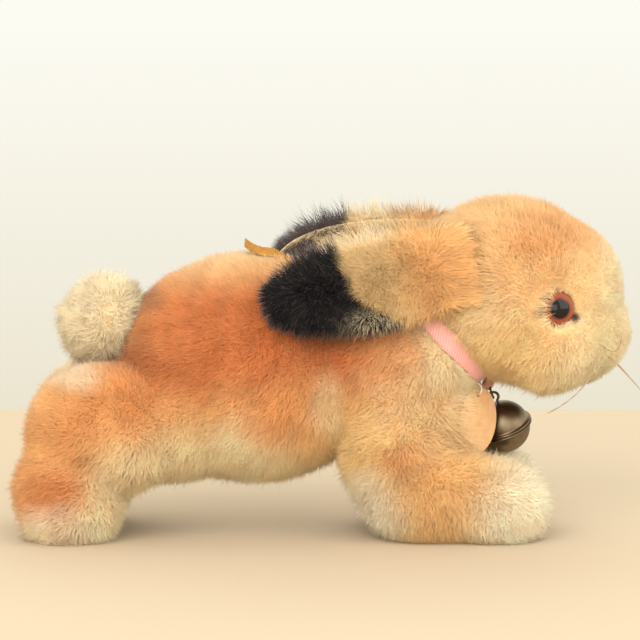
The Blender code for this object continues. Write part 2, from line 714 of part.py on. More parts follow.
def half_bell_profile(first_angle):
    """Half of a bell's wall with its flange, as (radius, height) points going round the section."""
    flange_low = GAP / 2.0
    flange_high = flange_low + BELL_FLANGE_THICKNESS
    steps = 5
    points = [(BELL_FLANGE_RADIUS, flange_low), (BELL_FLANGE_RADIUS, flange_high)]
    start = math.asin(flange_high / BELL_RADIUS)
    for i in range(steps + 1):
        angle = start + (first_angle - start) * i / steps
        points.append((BELL_RADIUS * math.cos(angle), BELL_RADIUS * math.sin(angle)))
    inner_radius = BELL_RADIUS - BELL_WALL
    start = math.asin(flange_low / inner_radius)
    for i in range(steps + 1):
        angle = first_angle + (start - first_angle) * i / steps
        points.append((inner_radius * math.cos(angle), inner_radius * math.sin(angle)))
    return points


def make_bell():
    """Two pressed half shells, the wire loop that hangs them, and the pellet inside."""
    axis, hinge = bell_frame()
    upright = frame_matrix(BELL_CENTRE, axis)
    upside_down = frame_matrix(BELL_CENTRE, -axis)
    hole_angle = math.acos(1.5 / BELL_RADIUS)
    upper = turned("bell_upper_shell", half_bell_profile(hole_angle), upright, BRONZE)
    lower = turned("bell_lower_shell", half_bell_profile(hole_angle), upside_down, BRONZE)
    length, width = BELL_SLOT
    slot = box("slot", (-length / 2.0, -width / 2.0, -BELL_FLANGE_RADIUS), (length / 2.0, width / 2.0, 0.0))
    slot.data.transform(upright)
    boolean(lower, slot)
    remove(slot)
    eye_radius = 1.5
    across = axis.cross(hinge)
    inside = (BELL_PIVOT - BELL_CENTRE).length - (BELL_RADIUS - BELL_WALL) + 0.9
    path = split_pin_path(BELL_PIVOT, axis, across, eye_radius, inside, 0.75, 1.6)
    loop = tube("bell_loop", path, BELL_LOOP_WIRE, BRONZE)
    rest = BELL_CENTRE - axis * (BELL_RADIUS - BELL_WALL - PELLET_RADIUS - GAP)
    pellet = ellipsoid("bell_pellet", (PELLET_RADIUS,) * 3, frame_matrix(rest, axis), STEEL, 12, 8)
    return [upper, lower, loop], pellet


def make_chest_tag():
    """A blank pressed-card disc hanging from a loop of thread on the chest."""
    outward = Vector((math.cos(CHEST_TAG_TURN), math.sin(CHEST_TAG_TURN), 0.0))
    placement = frame_matrix(CHEST_TAG_CENTRE, outward, Vector((0.0, 0.0, 1.0)))
    half = CHEST_TAG_THICKNESS / 2.0
    tag = cylinder("chest_tag", CHEST_TAG_RADIUS, -half, half, placement, TAG_CARD, 40)
    up = Vector((0.0, 0.0, 1.0))
    hole_centre = CHEST_TAG_CENTRE + up * (CHEST_TAG_RADIUS - 1.8)
    reach = 3.0 * CHEST_TAG_THICKNESS
    hole = cylinder("hole", CHEST_TAG_HOLE, -reach, reach, frame_matrix(hole_centre, outward), None, 16)
    boolean(tag, hole)
    remove(hole)
    thread = ring_of_wire("chest_tag_thread", hole_centre + up * CHEST_THREAD_RADIUS, outward, up,
                          CHEST_THREAD_RADIUS, CHEST_THREAD, COTTON)
    return tag, thread, hole_centre


# Assembly ----------------------------------------------------------------------------------------

def joint_empty(name, place):
    """The point that a moving piece turns about."""
    empty = bpy.data.objects.new(name, None)
    bpy.context.scene.collection.objects.link(empty)
    empty.location = (place + Vector((FRAME_SHIFT, 0.0, 0.0))) * MM
    return empty


def hang(pieces, empty):
    """Parent pieces to an empty and turn their drawing in millimetres into metres about it."""
    bpy.context.view_layer.update()
    to_world = Matrix.Scale(MM, 4) @ Matrix.Translation((FRAME_SHIFT, 0.0, 0.0))
    to_local = empty.matrix_world.inverted() @ to_world
    for piece in pieces:
        piece.data.transform(to_local)
        piece.parent = empty


def main():
    clear_scene()
    body, body_surface = make_body()
    body += make_tail(body_surface)
    body += make_neck_disc("body", -1.0)
    body += [make_ribbon(), make_cloth_tag(body_surface)] + make_ribbon_knot()

    sides, gusset, stuffing, head_surface = make_head()
    head = sides + [gusset, stuffing]
    head += make_neck_disc("head", 1.0) + [make_cotter_pin()]
    head += make_eye(1.0, head_surface, [sides[0], stuffing])
    head += make_eye(-1.0, head_surface, [sides[1], stuffing])
    head += [make_nose(head_surface), make_mouth(head_surface)] + make_whiskers(head_surface)

    bell, pellet = make_bell()
    chest_tag, thread, tag_hole = make_chest_tag()
    body.append(thread)
    remove(body_surface, head_surface)
    for form in [obj for obj in bpy.data.objects if obj.name.startswith("form")]:
        remove(form)

    left_root = ear_frame(1.0)[0]
    right_root = ear_frame(-1.0)[0]
    hang(body, joint_empty("toy_base", Vector((-FRAME_SHIFT, 0.0, 0.0))))
    hang(head, joint_empty("neck_joint", NECK_CENTRE))
    hang(make_ear(1.0), joint_empty("ear_left_root", left_root))
    hang(make_ear(-1.0), joint_empty("ear_right_root", right_root))
    hang(bell, joint_empty("bell_pivot", BELL_PIVOT))
    hang([pellet], joint_empty("pellet_rest", BELL_CENTRE))
    hang([chest_tag], joint_empty("chest_tag_pivot", tag_hole))


main()
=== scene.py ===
"""Looks of the mohair running rabbit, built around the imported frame.

Every piece takes its place from the frame's nodes and joints. Lengths inside the functions are in
millimetres, and MM turns them into metres. The pile is real geometry: thin closed spikes grown from smooth
skins, which are fused from the frame's fabric panels. Its colours are soft patches placed as shares of the
toy's length and height.
"""

import json
import math
from collections import namedtuple
from functools import partial

import bmesh
import bpy
import numpy as np
from mathutils import Matrix, Vector
from mathutils.bvhtree import BVHTree


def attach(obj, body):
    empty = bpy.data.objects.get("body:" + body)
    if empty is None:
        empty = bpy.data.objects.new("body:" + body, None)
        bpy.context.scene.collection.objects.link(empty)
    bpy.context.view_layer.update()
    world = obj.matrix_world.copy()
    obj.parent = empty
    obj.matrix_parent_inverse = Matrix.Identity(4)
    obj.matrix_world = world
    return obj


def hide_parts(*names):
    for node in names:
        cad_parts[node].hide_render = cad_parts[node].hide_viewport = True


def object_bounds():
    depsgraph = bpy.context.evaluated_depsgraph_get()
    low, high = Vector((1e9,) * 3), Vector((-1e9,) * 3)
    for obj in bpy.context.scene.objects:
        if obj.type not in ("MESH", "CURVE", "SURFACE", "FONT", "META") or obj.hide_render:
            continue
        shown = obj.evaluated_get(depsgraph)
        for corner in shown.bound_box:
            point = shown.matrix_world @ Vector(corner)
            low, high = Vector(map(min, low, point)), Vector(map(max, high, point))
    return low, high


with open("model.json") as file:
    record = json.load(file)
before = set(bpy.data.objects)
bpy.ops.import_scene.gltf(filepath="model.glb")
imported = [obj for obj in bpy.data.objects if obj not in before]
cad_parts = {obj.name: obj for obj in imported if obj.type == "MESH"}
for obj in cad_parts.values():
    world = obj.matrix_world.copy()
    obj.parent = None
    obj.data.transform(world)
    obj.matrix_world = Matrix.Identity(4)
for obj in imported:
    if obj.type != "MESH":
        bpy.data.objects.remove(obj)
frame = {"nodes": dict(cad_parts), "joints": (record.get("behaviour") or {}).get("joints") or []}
CAD_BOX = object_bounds()

MM = 0.001
SEED = 1953
LOW = np.array(CAD_BOX[0])
SIZE = np.array(CAD_BOX[1]) - LOW
JOINTS = {joint["name"]: joint for joint in frame["joints"]}
SIDES = ("left", "right")


def srgb(red, green, blue):
    """A display colour, 0 to 255, as linear values."""
    values = np.array([red, green, blue]) / 255.0
    return np.where(values <= 0.04045, values / 12.92, ((values + 0.055) / 1.055) ** 2.4)


RUST = srgb(216, 130, 76)
ORANGE = srgb(236, 166, 104)
HONEY = srgb(240, 188, 126)
GOLD = srgb(250, 206, 142)
PEACH = srgb(253, 216, 164)
CREAM = srgb(253, 228, 184)
PALE = srgb(253, 238, 210)
BEIGE = srgb(242, 222, 184)
GREY = srgb(206, 190, 162)
SOOT = srgb(14, 12, 13)
SMOKE = srgb(96, 80, 78)
WHEAT = srgb(216, 182, 130)
BROWN = srgb(140, 88, 58)
VELVET = srgb(240, 222, 176)


# Numeric tools --------------------------------------------

def unit(vectors):
    return vectors / np.maximum(np.linalg.norm(vectors, axis=1, keepdims=True), 1e-12)


def soft_step(low, high, values):
    t = np.clip((values - low) / (high - low), 0.0, 1.0)
    return t * t * (3.0 - 2.0 * t)


def mixed(first, second, share):
    """Blend two colours, or arrays of colours, by an array of shares."""
    return first + (second - first) * share[:, None]


def hashed(keys):
    """Whole numbers scrambled into values from -1 to 1."""
    h = keys & 0xFFFFFFFF
    h = ((h ^ (h >> 15)) * 2246822519) & 0xFFFFFFFF
    h = ((h ^ (h >> 13)) * 3266489917) & 0xFFFFFFFF
    return (h ^ (h >> 16)) / 2147483647.5 - 1.0


def lattice_noise(points, cell, seed):
    """Smooth vector noise, three values from -1 to 1 at each point, on a cubic lattice of side `cell`."""
    grid = points / cell
    base = np.floor(grid).astype(np.int64)
    part = grid - base
    part = part * part * (3.0 - 2.0 * part)
    total = np.zeros((len(points), 3))
    for corner in range(8):
        offset = np.array([corner & 1, (corner >> 1) & 1, (corner >> 2) & 1])
        weight = np.prod(np.where(offset == 1, part, 1.0 - part), axis=1)
        key = base + offset
        key = (key[:, 0] * 73856093) ^ (key[:, 1] * 19349663) ^ (key[:, 2] * 83492791) ^ (seed * 40503)
        for axis in range(3):
            total[:, axis] += weight * hashed(key + axis * 97531)
    return total


def mesh_arrays(obj):
    """Vertex positions in millimetres, vertex normals and triangles of a mesh object."""
    mesh = obj.data
    mesh.calc_loop_triangles()
    points = np.empty(len(mesh.vertices) * 3)
    mesh.vertices.foreach_get("co", points)
    normals = np.empty(len(mesh.vertices) * 3)
    mesh.vertices.foreach_get("normal", normals)
    triangles = np.empty(len(mesh.loop_triangles) * 3, np.int32)
    mesh.loop_triangles.foreach_get("vertices", triangles)
    return points.reshape(-1, 3) / MM, normals.reshape(-1, 3), triangles.reshape(-1, 3)


def node_points(*names):
    return np.concatenate([mesh_arrays(frame["nodes"][name])[0] for name in names])


def middle_of(points):
    return (points.min(axis=0) + points.max(axis=0)) / 2.0


def joint_place(name):
    return np.array(JOINTS[name]["pos_m"]) / MM


def tree_of(*names):
    """One search tree, in millimetres, over several frame nodes."""
    points, faces, count = [], [], 0
    for name in names:
        own, _, triangles = mesh_arrays(frame["nodes"][name])
        points += own.tolist()
        faces += (triangles + count).tolist()
        count += len(own)
    return BVHTree.FromPolygons(points, faces)


# Objects --------------------------------------------------

def link(obj):
    bpy.context.scene.collection.objects.link(obj)
    return obj


def object_from(bm, name, material):
    mesh = bpy.data.meshes.new(name)
    bm.to_mesh(mesh)
    bm.free()
    mesh.shade_smooth()
    mesh.materials.append(material)
    return link(bpy.data.objects.new(name, mesh))


def show(piece, slot, body, *hidden):
    """Put a piece on its body, in place of the frame nodes that it stands for, which it hides. The slot is
    not used.
    """
    if hidden:
        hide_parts(*hidden)
    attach(piece, body)


def edited(obj, change):
    """Run one bmesh change on an object's mesh."""
    bm = bmesh.new()
    bm.from_mesh(obj.data)
    change(bm)
    bm.to_mesh(obj.data)
    bm.free()


def bake_modifiers(obj):
    bpy.context.view_layer.update()
    depsgraph = bpy.context.evaluated_depsgraph_get()
    mesh = bpy.data.meshes.new_from_object(obj.evaluated_get(depsgraph))
    obj.modifiers.clear()
    obj.data = mesh
    mesh.shade_smooth()


def placement(centre, up):
    """A matrix in metres at a place in millimetres. Its Z is `up` and its X leans to the nose."""
    z_axis = Vector(up).normalized()
    y_axis = z_axis.cross(Vector((1.0, 0.0, 0.0))).normalized()
    x_axis = y_axis.cross(z_axis)
    turn = Matrix((x_axis, y_axis, z_axis)).transposed().to_4x4()
    return Matrix.Translation(Vector(centre) * MM) @ turn


def grid_object(name, rows, material, closed_rows=False, closed_columns=False):
    """A mesh over a grid of points in metres."""
    bm = bmesh.new()
    verts = [[bm.verts.new(point) for point in row] for row in rows]
    row_pairs = list(zip(verts, verts[1:]))
    if closed_rows:
        row_pairs.append((verts[-1], verts[0]))
    for here, there in row_pairs:
        columns = len(here) if closed_columns else len(here) - 1
        for k in range(columns):
            following = (k + 1) % len(here)
            bm.faces.new((here[k], here[following], there[following], there[k]))
    bmesh.ops.recalc_face_normals(bm, faces=bm.faces)
    return object_from(bm, name, material)


def turned(name, profile, matrix, material):
    """A profile of (radius, height) points in millimetres, turned about the Z axis of the matrix."""
    steps = 96
    rows = []
    for step in range(steps):
        angle = 2.0 * math.pi * step / steps
        rows.append([Vector((r * math.cos(angle), r * math.sin(angle), z)) * MM for r, z in profile])
    obj = grid_object(name, rows, material, closed_rows=True)
    edited(obj, lambda bm: bmesh.ops.remove_doubles(bm, verts=bm.verts, dist=1e-6))
    obj.matrix_world = matrix
    return obj


def fused_skin(name, nodes, material, voxel, rounds, swelling=0.0):
    """One smooth closed skin over several frame nodes, made by fusing copies of them."""
    bm = bmesh.new()
    for node_name in nodes:
        bm.from_mesh(frame["nodes"][node_name].data)
    obj = object_from(bm, name, material)
    remesh = obj.modifiers.new("remesh", "REMESH")
    remesh.mode = "VOXEL"
    remesh.voxel_size = voxel * MM
    smooth = obj.modifiers.new("smooth", "SMOOTH")
    smooth.factor = 0.5
    smooth.iterations = rounds
    bake_modifiers(obj)
    edited(obj, drop_pockets)
    obj.data.shade_smooth()
    if swelling:
        stuff_unevenly(obj, swelling)
    return obj


def stuff_unevenly(obj, height):
    """Low swellings of a hand-stuffed cover, always outwards so that the stuffing stays inside."""
    swelling_size, sole_clearance = 11.0, 0.1
    points, normals, _ = mesh_arrays(obj)
    swelling = height * (0.5 + 0.5 * lattice_noise(points, swelling_size, SEED + 41)[:, 0])
    moved = (points + normals * swelling[:, None]) * MM
    moved[:, 2] = np.maximum(moved[:, 2], sole_clearance * MM)
    obj.data.vertices.foreach_set("co", moved.astype(np.float32).ravel())
    obj.data.update()


def drop_pockets(bm):
    """Keep only the largest connected part, without the walls of closed pockets inside it."""
    seen = set()
    parts = []
    for start in bm.verts:
        if start in seen:
            continue
        part = [start]
        seen.add(start)
        for vert in part:
            for edge in vert.link_edges:
                other = edge.other_vert(vert)
                if other not in seen:
                    seen.add(other)
                    part.append(other)
        parts.append(part)
    parts.sort(key=len)
    for part in parts[:-1]:
        bmesh.ops.delete(bm, geom=part, context="VERTS")


# Materials ------------------------------------------------

def new_material(name, colour, roughness, metallic=0.0, specular=0.5):
    material = bpy.data.materials.new(name)
    material.use_nodes = True
    shader = material.node_tree.nodes["Principled BSDF"]
    shader.inputs["Base Color"].default_value = (*colour, 1.0)
    shader.inputs["Roughness"].default_value = roughness
    shader.inputs["Metallic"].default_value = metallic
    shader.inputs["Specular IOR Level"].default_value = specular
    return material, material.node_tree, shader


def ramp_into(tree, value, socket, stops):
    """Drive a colour socket by a value through a ramp of (position, colour) stops."""
    ramp = tree.nodes.new("ShaderNodeValToRGB")
    elements = ramp.color_ramp.elements
    while len(elements) < len(stops):
        elements.new(0.5)
    for element, (position, colour) in zip(elements, stops):
        element.position = position
        element.color = (*colour, 1.0)
    tree.links.new(value, ramp.inputs["Fac"])
    tree.links.new(ramp.outputs["Color"], socket)


def noise_into(tree, socket, scale, stops, stretch=(1.0, 1.0, 1.0)):
    """Drive a colour socket by object-space noise through a ramp of (position, colour) stops."""
    coordinates = tree.nodes.new("ShaderNodeTexCoord")
    mapping = tree.nodes.new("ShaderNodeMapping")
    mapping.inputs["Scale"].default_value = stretch
    noise = tree.nodes.new("ShaderNodeTexNoise")
    noise.inputs["Scale"].default_value = scale
    noise.inputs["Detail"].default_value = 4.0
    tree.links.new(coordinates.outputs["Object"], mapping.inputs["Vector"])
    tree.links.new(mapping.outputs["Vector"], noise.inputs["Vector"])
    ramp_into(tree, noise.outputs["Fac"], socket, stops)
    return noise


def bump_from(tree, shader, source, strength, distance):
    bump = tree.nodes.new("ShaderNodeBump")
    bump.inputs["Strength"].default_value = strength
    bump.inputs["Distance"].default_value = distance * MM
    tree.links.new(source, bump.inputs["Height"])
    tree.links.new(bump.outputs["Normal"], shader.inputs["Normal"])


def mottled_material(name, low, high, scale, roughness, metallic=0.0, relief=0.0, specular=0.5,
                     stretch=(1.0, 1.0, 1.0)):
    """A material whose colour wanders between two tones, with the same noise as a fine relief."""
    material, tree, shader = new_material(name, high, roughness, metallic, specular)
    noise = noise_into(tree, shader.inputs["Base Color"], scale, [(0.35, low), (0.65, high)], stretch)
    if relief:
        bump_from(tree, shader, noise.outputs["Fac"], 0.6, relief)
    return material


def pile_material():
    """Mohair fibre, coloured by each strand's own attribute."""
    material, tree, shader = new_material("mohair_pile", GOLD, 0.75, specular=0.18)
    colour = tree.nodes.new("ShaderNodeAttribute")
    colour.attribute_name = "pile_colour"
    tree.links.new(colour.outputs["Color"], shader.inputs["Base Color"])
    shader.inputs["Sheen Weight"].default_value = 0.2
    shader.inputs["Sheen Roughness"].default_value = 0.4
    return material


def backing_material():
    """Woven backing seen between the strands: the pile's colour, a little deeper as painted shade between the
    strands.
    """
    material, tree, shader = new_material("mohair_backing", GOLD, 0.95, specular=0.1)
    colour = tree.nodes.new("ShaderNodeAttribute")
    colour.attribute_name = "pile_colour"
    deeper = tree.nodes.new("ShaderNodeMix")
    deeper.data_type = "RGBA"
    deeper.blend_type = "MULTIPLY"
    deeper.inputs["Factor"].default_value = 1.0
    tint = next(socket for socket in deeper.inputs if socket.type == "RGBA" and socket.name == "B")
    base = next(socket for socket in deeper.inputs if socket.type == "RGBA" and socket.name == "A")
    result = next(socket for socket in deeper.outputs if socket.type == "RGBA")
    # painted shade: the tint darkens the backing where it shows between the strands
    tint.default_value = (0.95, 0.86, 0.75, 1.0)
    tree.links.new(colour.outputs["Color"], base)
    tree.links.new(result, shader.inputs["Base Color"])
    return material


def radial_material(name, stops, roughness):
    """Rings round the object's Z axis: each stop is (radius in mm, colour)."""
    material, tree, shader = new_material(name, SOOT, roughness)
    coordinates = tree.nodes.new("ShaderNodeTexCoord")
    flat = tree.nodes.new("ShaderNodeVectorMath")
    flat.operation = "MULTIPLY"
    reach = stops[-1][0]
    flat.inputs[1].default_value = (1.0 / (reach * MM), 1.0 / (reach * MM), 0.0)
    radius = tree.nodes.new("ShaderNodeVectorMath")
    radius.operation = "LENGTH"
    tree.links.new(coordinates.outputs["Object"], flat.inputs[0])
    tree.links.new(flat.outputs["Vector"], radius.inputs[0])
    shares = [(place / reach, colour) for place, colour in stops]
    ramp_into(tree, radius.outputs["Value"], shader.inputs["Base Color"], shares)
    return material, shader


def satin_material():
    """Pink satin: a fine slanted weave drawn on the ribbon's own length and width."""
    material, tree, shader = new_material("ribbon_satin", srgb(246, 150, 150), 0.38)
    place = tree.nodes.new("ShaderNodeUVMap")
    place.uv_map = "ribbon"
    turn = tree.nodes.new("ShaderNodeMapping")
    turn.inputs["Rotation"].default_value = (0.0, 0.0, math.radians(-38.0))
    weave = tree.nodes.new("ShaderNodeTexWave")
    weave.inputs["Scale"].default_value = 0.42
    weave.inputs["Distortion"].default_value = 0.4
    tree.links.new(place.outputs["UV"], turn.inputs["Vector"])
    tree.links.new(turn.outputs["Vector"], weave.inputs["Vector"])
    threads = [(0.0, srgb(232, 156, 150)), (1.0, srgb(242, 178, 170))]
    ramp_into(tree, weave.outputs["Color"], shader.inputs["Base Color"], threads)
    shader.inputs["Sheen Weight"].default_value = 0.5
    bump_from(tree, shader, weave.outputs["Fac"], 0.3, 0.05)
    return material


# Pile -----------------------------------------------------

DENSITY = 12.0      # strands for each square millimetre of skin
STRAND_POINTS = 7                          # a ring of three at the base, another at the middle, and the tip
FACES_PER_STRAND = 10
FACES_PER_PIECE = 190000
TUFT_SIZE = 1.6
SWIRL_SIZE = 6.5
SWIRL = 0.22
LOOSENESS = 0.2
PILE_SEEDS = {"body": 1, "head": 2, "tail": 3, "ear_left": 4, "ear_right": 5}

# colour, length, flow and keep are functions of root points and normals. Width is in millimetres, and lean
# and tuft are how far the strands lie down along the flow and clump together.
Coat = namedtuple("Coat", "colour length flow keep width lean tuft")

# How a skin is made and planted: voxel size, rounds of smoothing, height of its swellings, and the share of
# the usual number of strands.
Cover = namedtuple("Cover", "voxel rounds swelling density")
STUFFED = Cover(0.9, 4, 0.6, 1.0)
LEAF = Cover(0.5, 3, 0.0, 1.6)


def sample_surface(obj, density, rng):
    """Even random roots on a mesh: positions and smooth normals."""
    points, normals, triangles = mesh_arrays(obj)
    a, b, c = (points[triangles[:, k]] for k in range(3))
    areas = 0.5 * np.linalg.norm(np.cross(b - a, c - a), axis=1)
    count = int(areas.sum() * density)
    picks = np.searchsorted(np.cumsum(areas), rng.random(count) * areas.sum())
    corners = triangles[np.minimum(picks, len(areas) - 1)]
    u, v = rng.random(count), rng.random(count)
    over = u + v > 1.0
    u[over], v[over] = 1.0 - u[over], 1.0 - v[over]
    weights = np.stack([1.0 - u - v, u, v], axis=1)[:, :, None]
    return (points[corners] * weights).sum(axis=1), unit((normals[corners] * weights).sum(axis=1))


def strand_directions(roots, normals, coat, rng):
    """Unit directions of the lower and the upper half of each strand."""
    flow = coat.flow(roots, normals)
    flow = flow - normals * (flow * normals).sum(axis=1, keepdims=True)
    flow = flow * (coat.lean * rng.uniform(0.5, 1.4, len(roots)))[:, None]
    tuft = lattice_noise(roots, TUFT_SIZE, SEED + 1) * coat.tuft
    swirl = lattice_noise(roots, SWIRL_SIZE, SEED + 2) * SWIRL
    lower = unit(normals + flow * 0.6 + tuft * 0.7 + swirl + rng.normal(0.0, LOOSENESS, roots.shape))
    upper = unit(lower + flow * 0.7 + tuft + swirl * 0.8 + rng.normal(0.0, LOOSENESS, roots.shape))
    return lower, upper


def stop_at(obstacles, roots, directions, lengths):
    """Shorten the strands that would grow through one of the obstacles."""
    margin, behind, shortest, free_share = 5.0, 0.2, 0.25, 0.85
    near = np.zeros(len(roots), bool)
    for name in obstacles:
        points = node_points(name)
        inside = (roots > points.min(axis=0) - margin) & (roots < points.max(axis=0) + margin)
        near |= np.all(inside, axis=1)
    tree = tree_of(*obstacles)
    for i in np.flatnonzero(near):
        start = roots[i] - directions[i] * behind
        distance = tree.ray_cast(Vector(start), Vector(directions[i]), lengths[i] + 2.0 * behind)[3]
        if distance is not None:
            lengths[i] = max(shortest, distance * free_share)
    return lengths


def strand_points(paths, normals, widths):
    """Points and shading normals of closed three-sided strands along (base, middle, tip) paths."""
    base, middle, tip = paths
    axis = unit(tip - base)
    off_axis = np.array([0.013, 0.007, 0.011])      # keeps the cross product away from zero
    side = unit(np.cross(axis, normals + off_axis))
    other = np.cross(axis, side)
    points = np.empty((len(base), STRAND_POINTS, 3))
    shade = np.empty((len(base), STRAND_POINTS, 3))
    for k in range(3):
        angle = 2.0 * math.pi * k / 3.0
        outward = side * math.cos(angle) + other * math.sin(angle)
        points[:, k] = base + outward * (widths * 0.5)[:, None]
        points[:, 3 + k] = middle + outward * (widths * 0.45)[:, None]
        shade[:, k] = shade[:, 3 + k] = unit(outward * 0.5 + normals * 0.8)
    points[:, 6] = tip
    shade[:, 6] = unit(normals + axis * 0.4)
    return points, shade


def strand_faces(count):
    """Triangles of `count` strands: the cap at the base, then the lower and the upper sides."""
    pattern = [(2, 1, 0)]
    for k in range(3):
        following = (k + 1) % 3
        pattern.append((k, following, 3 + following))
        pattern.append((k, 3 + following, 3 + k))
        pattern.append((3 + k, 3 + following, 6))
    return (np.arange(count)[:, None, None] * STRAND_POINTS + np.array(pattern)[None]).reshape(-1, 3)


def spikes(name, paths, normals, widths, colours, material):
    """One object of many strands, each darker at its root as painted shade deep in the pile, and lighter at
    its tip.
    """
    points, shade = strand_points(paths, normals, widths)
    faces = strand_faces(len(points))
    mesh = triangle_mesh(name, points.reshape(-1, 3), faces)
    tones = np.repeat(colours[:, None, :], STRAND_POINTS, axis=1)
    # painted shade: the base of each strand is darkened as if shaded by the pile around it
    tones[:, :3] *= 0.88
    tones[:, 6] = np.clip(tones[:, 6] * 1.10 + 0.02, 0.0, 1.0)
    colour_attribute(mesh, tones.reshape(-1, 3))
    lay_out_strands(mesh, len(points), faces)
    mesh.shade_smooth()
    mesh.normals_split_custom_set_from_vertices(shade.reshape(-1, 3).astype(np.float32))
    mesh.materials.append(material)
    return link(bpy.data.objects.new(name, mesh))


def triangle_mesh(name, points, faces):
    mesh = bpy.data.meshes.new(name)
    mesh.vertices.add(len(points))
    mesh.vertices.foreach_set("co", (points * MM).astype(np.float32).ravel())
    mesh.loops.add(len(faces) * 3)
    mesh.loops.foreach_set("vertex_index", faces.astype(np.int32).ravel())
    mesh.polygons.add(len(faces))
    mesh.polygons.foreach_set("loop_start", np.arange(0, len(faces) * 3, 3, dtype=np.int32))
    mesh.update(calc_edges=True)
    return mesh


def colour_attribute(mesh, colours):
    attribute = mesh.attributes.new("pile_colour", "FLOAT_COLOR", "POINT")
    rgba = np.ones((len(colours), 4), np.float32)
    rgba[:, :3] = colours
    attribute.data.foreach_set("color", rgba.ravel())


def lay_out_strands(mesh, count, faces):
    """A UV map that gives every strand its own small cell, so that a baked picture can hold its colour."""
    columns = int(math.ceil(math.sqrt(count)))
    strand = np.arange(count)
    corner = np.stack([strand % columns, strand // columns], axis=1)
    thirds = (0.1, 0.5, 0.9)
    place = np.array([(x, 0.1) for x in thirds] + [(x, 0.5) for x in thirds] + [(0.5, 0.9)])
    uv = ((corner[:, None, :] + place[None]) / columns).reshape(-1, 2)[faces.reshape(-1)]
    mesh.uv_layers.new(name="OFBake").data.foreach_set("uv", uv.astype(np.float32).ravel())


def strand_colours(roots, normals, coat, rng):
    """The coat's colours, with a tone that changes from strand to strand and from clump to clump."""
    tone = 1.0 + rng.normal(0.0, 0.07, len(roots))
    tone += 0.13 * lattice_noise(roots, 2.2, SEED + 7)[:, 0]
    tone += 0.08 * lattice_noise(roots, 6.0, SEED + 8)[:, 0]
    return np.clip(coat.colour(roots, normals) * tone[:, None], 0.0, 1.0)


def grow_pile(name, skin, body, material, coat, density, obstacles):
    """Pile over a skin, split into pieces that stay small enough to store, riding on a body."""
    rng = np.random.default_rng(SEED + PILE_SEEDS[name])
    roots, normals = sample_surface(skin, DENSITY * density, rng)
    chosen = rng.random(len(roots)) < coat.keep(roots, normals)
    roots, normals = roots[chosen], normals[chosen]
    lengths = coat.length(roots, normals) * rng.uniform(0.75, 1.15, len(roots))
    lengths *= np.where(rng.random(len(roots)) < 0.03, 1.3, 1.0)
    lower, upper = strand_directions(roots, normals, coat, rng)
    if obstacles:
        lengths = stop_at(obstacles, roots, lower, lengths)
    base = roots - normals * 0.2
    middle = base + lower * (lengths * 0.55)[:, None]
    tip = middle + upper * (lengths * 0.55)[:, None]
    paths = [above_floor(part) for part in (base, middle, tip)]
    colours = strand_colours(roots, normals, coat, rng)
    widths = coat.width * rng.uniform(0.75, 1.25, len(roots))
    count = max(1, math.ceil(len(roots) * FACES_PER_STRAND / FACES_PER_PIECE))
    order = np.argsort(roots[:, 0], kind="stable")
    for k, part in enumerate(np.array_split(order, count)):
        own_name = f"{name}_pile_{k + 1}" if count > 1 else f"{name}_pile"
        own_paths = [path[part] for path in paths]
        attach(spikes(own_name, own_paths, normals[part], widths[part], colours[part], material), body)


def above_floor(points):
    """Strands under the soles lie flat on the ground."""
    lying = 0.12
    return np.concatenate([points[:, :2], np.maximum(points[:, 2:], lying)], axis=1)


# Colour patches -------------------------------------------

def patch(points, centre, radii):
    """Weight of a soft-edged round patch placed in shares of the toy's length and height."""
    at = (points * MM - LOW) / SIZE
    broad = lattice_noise(points, 9.0, SEED + 11)[:, 0]
    fine = lattice_noise(points, 3.0, SEED + 12)[:, 0]
    wobble = broad * 0.22 + fine * 0.12
    reach = np.hypot((at[:, 0] - centre[0]) / radii[0], (at[:, 2] - centre[1]) / radii[1])
    return 1.0 - soft_step(0.45, 1.55, reach + wobble)


def painted(points, base, layers):
    """Soft patches of colour laid over a base colour, in order."""
    colours = np.tile(base, (len(points), 1))
    for colour, strength, centre, radii in layers:
        colours = mixed(colours, colour, patch(points, centre, radii) * strength)
    return colours


